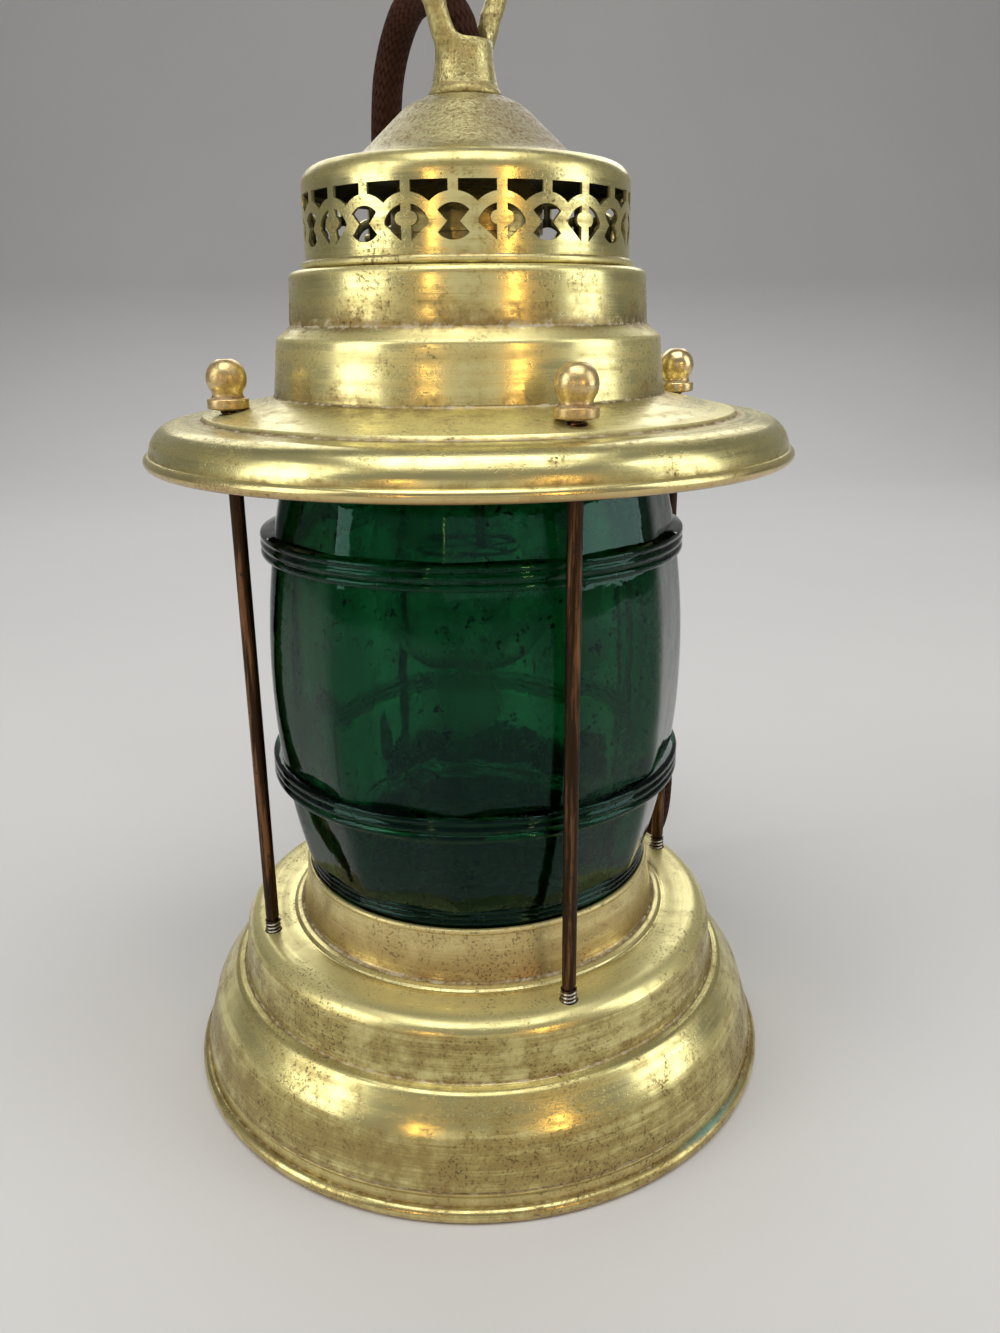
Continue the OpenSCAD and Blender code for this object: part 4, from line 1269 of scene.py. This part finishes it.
@dataclass
class Hood:
    """Tiered hood with its pierced band, dome and hanging loop."""

    band_r: float = 37.0
    top_z: float = 201.51
    tier1: Point = (40.9, 41.5)
    tier1_z: float = 189.71
    tier2: Point = (44.7, 46.0)
    tier2_z: float = 186.91
    ring_z: float = 174.21
    ring_r: float = 62.2
    step_z: float = 170.61
    brim_r: float = 76.2
    brim_bead: float = 3.0
    brim_z: float = 159.81
    brim_round: float = 7.0
    hole: float = 4.7
    thickness: float = 0.8
    steps: int = 256
    dome_z: float = 218.31
    dome_corner_z: float = 222.91
    crease: Point = (25.5, 223.91)
    dome_top_z: float = 236.91
    dome_hole_r: float = 5.4
    dome_flat_r: float = 9.8
    cone_top: Point = (13.6, 235.0)
    loop_bearing: float = -135.0
    loop_bore: float = 10.1
    loop_bore_h: float = 16.5
    arm_root: Point = (5.6, 247.9)
    arm_lean: float = 64.6
    fork_z: Point = (243.5, 254.5)
    voxel: float = 0.42
    swell: Sequence[Tuple[Point, Point]] = (((-7.0, 1.2), (1.4, 3.05)), ((1.0, 12.0), (3.05, 2.2)))

    def canopy(self, shop: Workshop, rods: Rods) -> None:
        """Make the brim, the flat ring and the two tiers."""
        bead_r, bead_z = self.brim_r - self.brim_bead / 2, self.brim_z + self.brim_bead / 2
        brim_top = self.step_z - 1
        path = rounded(
            [
                (self.band_r + 0.1, self.top_z, 0),
                (self.tier1[0], self.top_z, 1.8),
                (self.tier1[1], self.tier1_z, 0.8),
                (self.tier2[0], self.tier2_z, 1.6),
                (self.tier2[1], self.ring_z, 0.9),
                (self.ring_r, self.step_z, 0.3),
                (self.ring_r + 0.8, brim_top, 0.3),
                (bead_r - 0.2, brim_top - 0.3, self.brim_round),
                (bead_r + 0.3, bead_z, 0),
            ]
        )
        bm = bmesh.new()
        spin(bm, sheet(path, self.thickness), self.steps)
        made = to_object(bm, "hood")
        bead = ring(bead_r, bead_z, self.brim_bead)
        reach = (self.brim_z, self.ring_z + 6)
        drill(made, rods.places(), self.hole, reach, [(bead, self.steps)])
        # grooves: crust and brown darkening in the concave corners; the darkening is partly painted
        # shade
        grooves = [
            (self.tier1[1], self.tier1_z),
            (self.tier2[1], self.ring_z),
            (self.ring_r + 0.6, brim_top),
            (bead_r - 0.4, bead_z + 1.8),
        ]
        # worn: rubbed edges, which also carry a painted highlight line
        worn = [
            (self.tier1[0] - 0.3, self.top_z - 0.3),
            (self.tier2[0] - 0.4, self.tier2_z - 0.2),
            (self.ring_r, self.step_z),
        ]
        edge = near(worn, 1.8)

        def rubbed_and_lit(point: Vector) -> float:
            """Mark worn edges, rubbed bright with a painted highlight, and the flat ring, painted
            lighter as light from above.
            """
            level = self.step_z - 0.2 < point.z < self.ring_z
            return max(edge(point), 0.85 if level and aside(point) > self.tier2[1] + 2 else 0.0)

        under = near([(self.brim_r - 0.6, self.brim_z + 0.6)], 2.6)
        lay_marks(made, groove=near(grooves, 2.2), edge=rubbed_and_lit, rose=under)
        lay_under_shade(made)
        shop.fit(made, Paint.AGED_BRASS, "cap", "canopy")

    def band(self, shop: Workshop) -> None:
        """Make the pierced band, shaded as a true cylinder."""
        made = shop.copy("gallery", "pierced_band")
        mesh = made.data
        normals = [Vector()] * len(mesh.loops)
        for face in mesh.polygons:
            for corner in face.loop_indices:
                point = mesh.vertices[mesh.loops[corner].vertex_index].co
                out = Vector((point.x, point.y, 0)).normalized()
                lean = face.normal.dot(out)
                upright = abs(lean) > 0.97
                normals[corner] = out * math.copysign(1, lean) if upright else face.normal.copy()
        mesh.normals_split_custom_set(normals)
        r, z = self.band_r, self.top_z
        # edge: the band's rubbed top edge, with a painted highlight
        groove, edge = near([(r + 0.6, z + 2.0), (r + 0.8, z)], 1.4), near([(r + 1, z + 1)], 1.2)
        lay_marks(made, groove=groove, edge=edge)
        lay_under_shade(made)
        shop.fit(made, Paint.AGED_BRASS, "cap", "gallery")

    def dome(self, shop: Workshop) -> None:
        """Make the dome: a rounded shoulder and a bell shaped cone."""
        path = rounded(
            [
                (self.dome_hole_r, self.dome_top_z, 0),
                (self.dome_flat_r, self.dome_top_z, 3.0),
                (*self.cone_top, 7.0),
                (*self.crease, 12.0),
                (self.band_r, self.dome_corner_z, 4.4),
                (self.band_r, self.dome_z, 0),
            ],
            14,
        )
        bm = bmesh.new()
        spin(bm, sheet(path, self.thickness), 192)
        made = to_object(bm, "dome_shell")
        r, z = self.crease

        def dull(point: Vector) -> float:
            """Mark the cone, which is most weathered on its right."""
            right = max(0.0, point.x / (aside(point) + 1))
            return clamp((point.z - z + 0.2) / 1.2) * (0.80 + 0.9 * right)

        lay_marks(made, groove=near([(8.6, self.dome_top_z), (r + 2, z + 0.4)], 2.4), dull=dull)
        lay_under_shade(made)
        shop.fit(made, Paint.DULL_BRASS, "cap", "dome")

    def loop(self, shop: Workshop) -> None:
        """Make the cast loop: its arms swell into the neck, and its corners are soft."""
        bm = opened(shop.nodes["hanging_loop"])
        bmesh.ops.remove_doubles(bm, verts=bm.verts, dist=WELD)
        lean = math.radians(self.arm_lean)
        for side in (0, 180):
            out = bearing(self.loop_bearing + side, 1.0) / MM
            ahead = out * math.cos(lean) + Vector((0, 0, math.sin(lean)))
            root = out * self.arm_root[0] + Vector((0, 0, self.arm_root[1]))
            turn = ahead.to_track_quat("Z", "Y").to_matrix().to_4x4()
            for reach, radii in self.swell:
                cone(bm, Matrix.Translation(root * MM) @ turn, radii, reach, 40)
        made = to_object(bm, "loop")
        foot = self.dome_top_z
        melted(made, self.voxel)
        drill(made, [ORIGIN], self.loop_bore, (foot - 1, foot + self.loop_bore_h))
        melted(made, self.voxel)
        bm = opened(made)
        fork = [v for v in bm.verts if self.fork_z[0] < v.co.z / MM < self.fork_z[1]]
        free = {f"use_axis_{axis}": True for axis in "xyz"}
        for verts, rounds in ((list(bm.verts), 9), (fork, 60)):
            for _ in range(rounds):
                bmesh.ops.smooth_vert(bm, verts=verts, factor=0.5, **free)
        shade(written(bm, made.data), 180)
        groove = near([(8.0, foot), (7.4, foot + 2.2)], 1.6)
        lay_marks(made, groove=groove, dull=lambda point: 0.6)
        shop.fit(made, Paint.CAST_BRASS, "cap", "hanging_loop")

    def build(self, shop: Workshop, rods: Rods) -> None:
        """Make the whole hood."""
        self.canopy(shop, rods)
        self.band(shop)
        self.dome(shop)
        self.loop(shop)


@dataclass
class Lampholder:
    """Lampholder, nipple and bulb, out of sight under the hood."""

    holder: Mapping[str, Paint] = field(
        default_factory=lambda: {
            "loop_nipple": Paint.INNER_BRASS,
            "nipple_locknut": Paint.INNER_BRASS,
            "cord_lead": Paint.CLOTH_CORD,
            "lead_wires": Paint.WIRE_COVER,
            "socket_cap": Paint.INNER_BRASS,
            "socket_shell": Paint.INNER_BRASS,
            "socket_liner": Paint.FIBRE,
            "socket_core": Paint.PORCELAIN,
            "terminal_screws": Paint.INNER_BRASS,
            "centre_contact": Paint.INNER_BRASS,
            "screw_shell": Paint.INNER_BRASS,
        }
    )
    bulb: Mapping[str, Paint] = field(
        default_factory=lambda: {
            "bulb_glass": Paint.CLEAR_GLASS,
            "bulb_stem": Paint.CLEAR_GLASS,
            "bulb_base": Paint.BULB_METAL,
            "bulb_insulator": Paint.BLACK_INSULATOR,
            "bulb_contact": Paint.BULB_METAL,
            "bulb_filament": Paint.FILAMENT,
        }
    )

    def build(self, shop: Workshop) -> None:
        """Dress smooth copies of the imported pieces."""
        for body, pieces in (("cap", self.holder), ("bulb", self.bulb)):
            for node, paint in pieces.items():
                shop.fit(shop.copy(node, f"{node}_piece"), paint, body, node)


@dataclass
class Cord:
    """Cloth covered cord from the loop's neck, down behind the lantern to a coil and a plug."""

    across: float = 7.5
    start_z: float = 243.91
    floor_z: float = 4.4
    lane_y: float = 85.0
    coil_x: float = 8.0
    coil_r: float = 54.0
    turns: float = 2.375
    gap: float = 0.6
    lead: float = 16.0
    tie_angle: float = 30.0
    tie_width: float = 7.0
    tie_thick: float = 0.5
    sides: int = 20
    plug_r: float = 11.0
    plug_h: float = 30.0
    plug_grooves: Sequence[float] = (18.6, 21.6, 24.6)

    def drop(self) -> List[Vector]:
        """Give the points of the free stretch, as the solids have them."""
        hanging = (
            ((0, 0, 0), (0, 0, 3), (-1, 1, 8), (-4, 5, 13), (-8, 11, 16), (-12.5, 17.5, 15)),
            ((-16, 24, 10), (-18.4, 28.5, 3), (-19.5, 32, -4), (-20.2, 36, -11), (-20.6, 41, -18)),
            ((-20, 46.5, -26), (-18.5, 52.5, -36), (-14.5, 58.5, -47), (-8, 64, -57)),
            ((1, 68.5, -65), (12, 71.5, -70), (24, 73, -73), (35, 74, -76.5), (44.5, 75, -83)),
            ((51, 76.5, -93), (55, 78, -107), (58, 80, -124), (60, 82, -144), (62, 83.5, -164)),
            ((64, 84.5, -184),),
        )
        landing = ((65.5, 44), (66, 32), (65, 20), (61.5, 11), (55, 5.5))
        flat = (47.0, self.coil_x + 15)
        return (
            [Vector((x, y, self.start_z + z)) for row in hanging for x, y, z in row]
            + [Vector((x, self.lane_y, z)) for x, z in landing]
            + [Vector((x, self.lane_y, self.floor_z)) for x in flat]
        )

    @property
    def coil_end(self) -> float:
        """Give the number of turns after which the cord leaves the coil."""
        return 2 * (self.turns + 0.25)

    def coil(self, turn: float) -> Vector:
        """Give the coil's place after a number of turns: in below, then out on top."""
        half = self.turns + 0.25
        pitch = self.across + self.gap
        r = self.coil_r - pitch * (half - abs(turn - half))
        rise = clamp(2 * (turn - self.turns))
        angle = math.radians(-90 - 360 * turn)
        x = self.coil_x + r * math.cos(angle)
        y = self.lane_y + self.coil_r + r * math.sin(angle)
        return Vector((x, y, self.floor_z + pitch * rise))

    def tail(self) -> Tuple[Vector, Vector]:
        """Give the cord's far end and the way it looks."""
        end = self.coil(self.coil_end)
        heading = (end - self.coil(self.coil_end - 0.01)).normalized()
        return end + heading * self.lead, heading

    def line(self) -> List[Vector]:
        """Give the whole cord's line in metres, on one smooth curve."""
        rough = self.drop()
        count = round(48 * self.turns * 2)
        rough += [self.coil(self.coil_end * k / count) for k in range(count + 1)]
        rough.append(self.tail()[0])
        smooth: List[Vector] = []
        for i in range(len(rough) - 1):
            a, b, c, d = (rough[max(0, min(len(rough) - 1, i + j))] for j in (-1, 0, 1, 2))
            bend, twist = 2 * a - 5 * b + 4 * c - d, 3 * b - a - 3 * c + d
            parts = max(1, round((c - b).length / 2.2))
            for t in (k / parts for k in range(parts)):
                smooth.append(0.5 * (2 * b + (c - a) * t + bend * t * t + twist * t**3))
        return [p * MM for p in smooth + [rough[-1]]]

    def tube(self, line: Sequence[Vector]) -> Object:
        """Sweep a ring along the line, with marks along and around it."""
        bm = bmesh.new()
        along, cosine, sine = (
            bm.verts.layers.float.new(name) for name in ("along", "around_cos", "around_sin")
        )
        radius = self.across / 2 * MM
        verts = bmesh.ops.create_circle(bm, segments=self.sides, radius=radius)["verts"]
        for vert in verts:
            turn = math.atan2(vert.co.y, vert.co.x)
            vert[cosine], vert[sine] = math.cos(turn), math.sin(turn)
        edges = list(bm.edges)
        side, was, run = Vector((1, 0, 0)), Matrix.Identity(4), 0.0
        for i, here in enumerate(line):
            ahead = (line[min(i + 1, len(line) - 1)] - line[max(i - 1, 0)]).normalized()
            side = (side - ahead * side.dot(ahead)).normalized()
            now = Matrix((side, ahead.cross(side), ahead)).transposed().to_4x4()
            now.translation = here
            if i:
                run += (here - line[i - 1]).length
                out = bmesh.ops.extrude_edge_only(bm, edges=edges)["geom"]
                verts = [g for g in out if isinstance(g, BMVert)]
                edges = [g for g in out if isinstance(g, BMEdge)]
            bmesh.ops.transform(bm, matrix=now @ was.inverted(), verts=verts)
            for vert in verts:
                vert[along] = run
            was = now
        bmesh.ops.holes_fill(bm, edges=[e for e in bm.edges if e.is_boundary], sides=0)
        close_up(bm)
        return to_object(bm, "cord", 60)

    def plug_piece(self, shop: Workshop) -> List[Object]:
        """Make the plug and dress its blades."""
        at, heading = self.tail()
        r, top = self.plug_r, self.plug_h
        corners = [(0, 0, 0), (5.15, 0, 0.6), (5.55, 9, 3), (r, 16.5, 3)]
        for z in self.plug_grooves:
            corners += [(r, z - 0.6, 0), (r - 0.4, z, 0.3), (r, z + 0.6, 0)]
        bm = bmesh.new()
        spin(bm, rounded(corners + [(r, top, 1), (0, top, 0)], 8), 72, closed=False)
        turn = heading.to_track_quat("Z", "X").to_matrix().to_4x4()
        bmesh.ops.transform(bm, matrix=Matrix.Translation(at * MM) @ turn, verts=bm.verts)
        body = shop.fit(to_object(bm, "plug"), Paint.PLUG_PLASTIC, "base", "plug_body")
        blades = shop.copy("plug_blades", "blades")
        return [body, shop.fit(blades, Paint.INNER_BRASS, "base", "plug_blades")]

    def tie(self, shop: Workshop) -> Object:
        """Make the tape that holds the coil: a flat loop round all its turns."""
        turns = [k - (90 + self.tie_angle) / 360 for k in range(1, 2 * math.ceil(self.turns) + 2)]
        places = [self.coil(t) for t in turns if 0 <= t <= self.coil_end]
        middle = Vector((self.coil_x, self.lane_y + self.coil_r, 0))
        reach = [aside(place, middle) for place in places]
        soft = self.across / 2
        slack = soft + 0.05
        low, high = min(reach) - slack, max(reach) + slack
        foot, top = self.floor_z - slack, max(place.z for place in places) + slack
        start = ((low + high) / 2, foot, 0)
        corners = [(high, foot, soft), (high, top, soft), (low, top, soft), (low, foot, soft)]
        loop = rounded([start, *corners, start])[:-1]
        bm = bmesh.new()
        verts = [bm.verts.new((r * MM, -self.tie_width / 2 * MM, z * MM)) for r, z in loop]
        edges = [bm.edges.new(ends) for ends in zip(verts, verts[1:] + verts[:1])]
        strip = bmesh.ops.extrude_edge_only(bm, edges=edges)["geom"]
        moved = [g for g in strip if isinstance(g, BMVert)]
        bmesh.ops.translate(bm, verts=moved, vec=(0, self.tie_width * MM, 0))
        bmesh.ops.recalc_face_normals(bm, faces=bm.faces)
        bmesh.ops.solidify(bm, geom=list(bm.faces), thickness=-self.tie_thick * MM)
        turn = Matrix.Rotation(math.radians(self.tie_angle), 4, "Z")
        bmesh.ops.transform(bm, matrix=Matrix.Translation(middle * MM) @ turn, verts=bm.verts)
        close_up(bm)
        return shop.fit(to_object(bm, "coil_tie"), Paint.FIBRE, "base")

    def build(self, shop: Workshop) -> None:
        line = self.line()
        made = self.tube(line)
        shop.paint(made, Paint.CLOTH_CORD)
        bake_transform(made)
        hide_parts("cord_drop", "cord_coil")
        length = sum((b - a).length for a, b in zip(line, line[1:]))
        LOG.info("cord is %.3f m long", length)
        tuple(line[0])
        [tuple(p) for p in line]
        self.plug_piece(shop) + [self.tie(shop)]


def main() -> None:
    """Build the studio, then the lantern from the cord to the hood."""
    logging.basicConfig(level=logging.INFO, format="%(name)s: %(message)s")
    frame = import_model()
    shop = Workshop(frame["nodes"])
    Studio().build()
    Cord().build(shop)
    rods = Rods()
    Base().build(shop, rods)
    Globe().build(shop)
    rods.build(shop)
    Hood().build(shop, rods)
    Lampholder().build(shop)


if __name__ == "__main__":
    main()
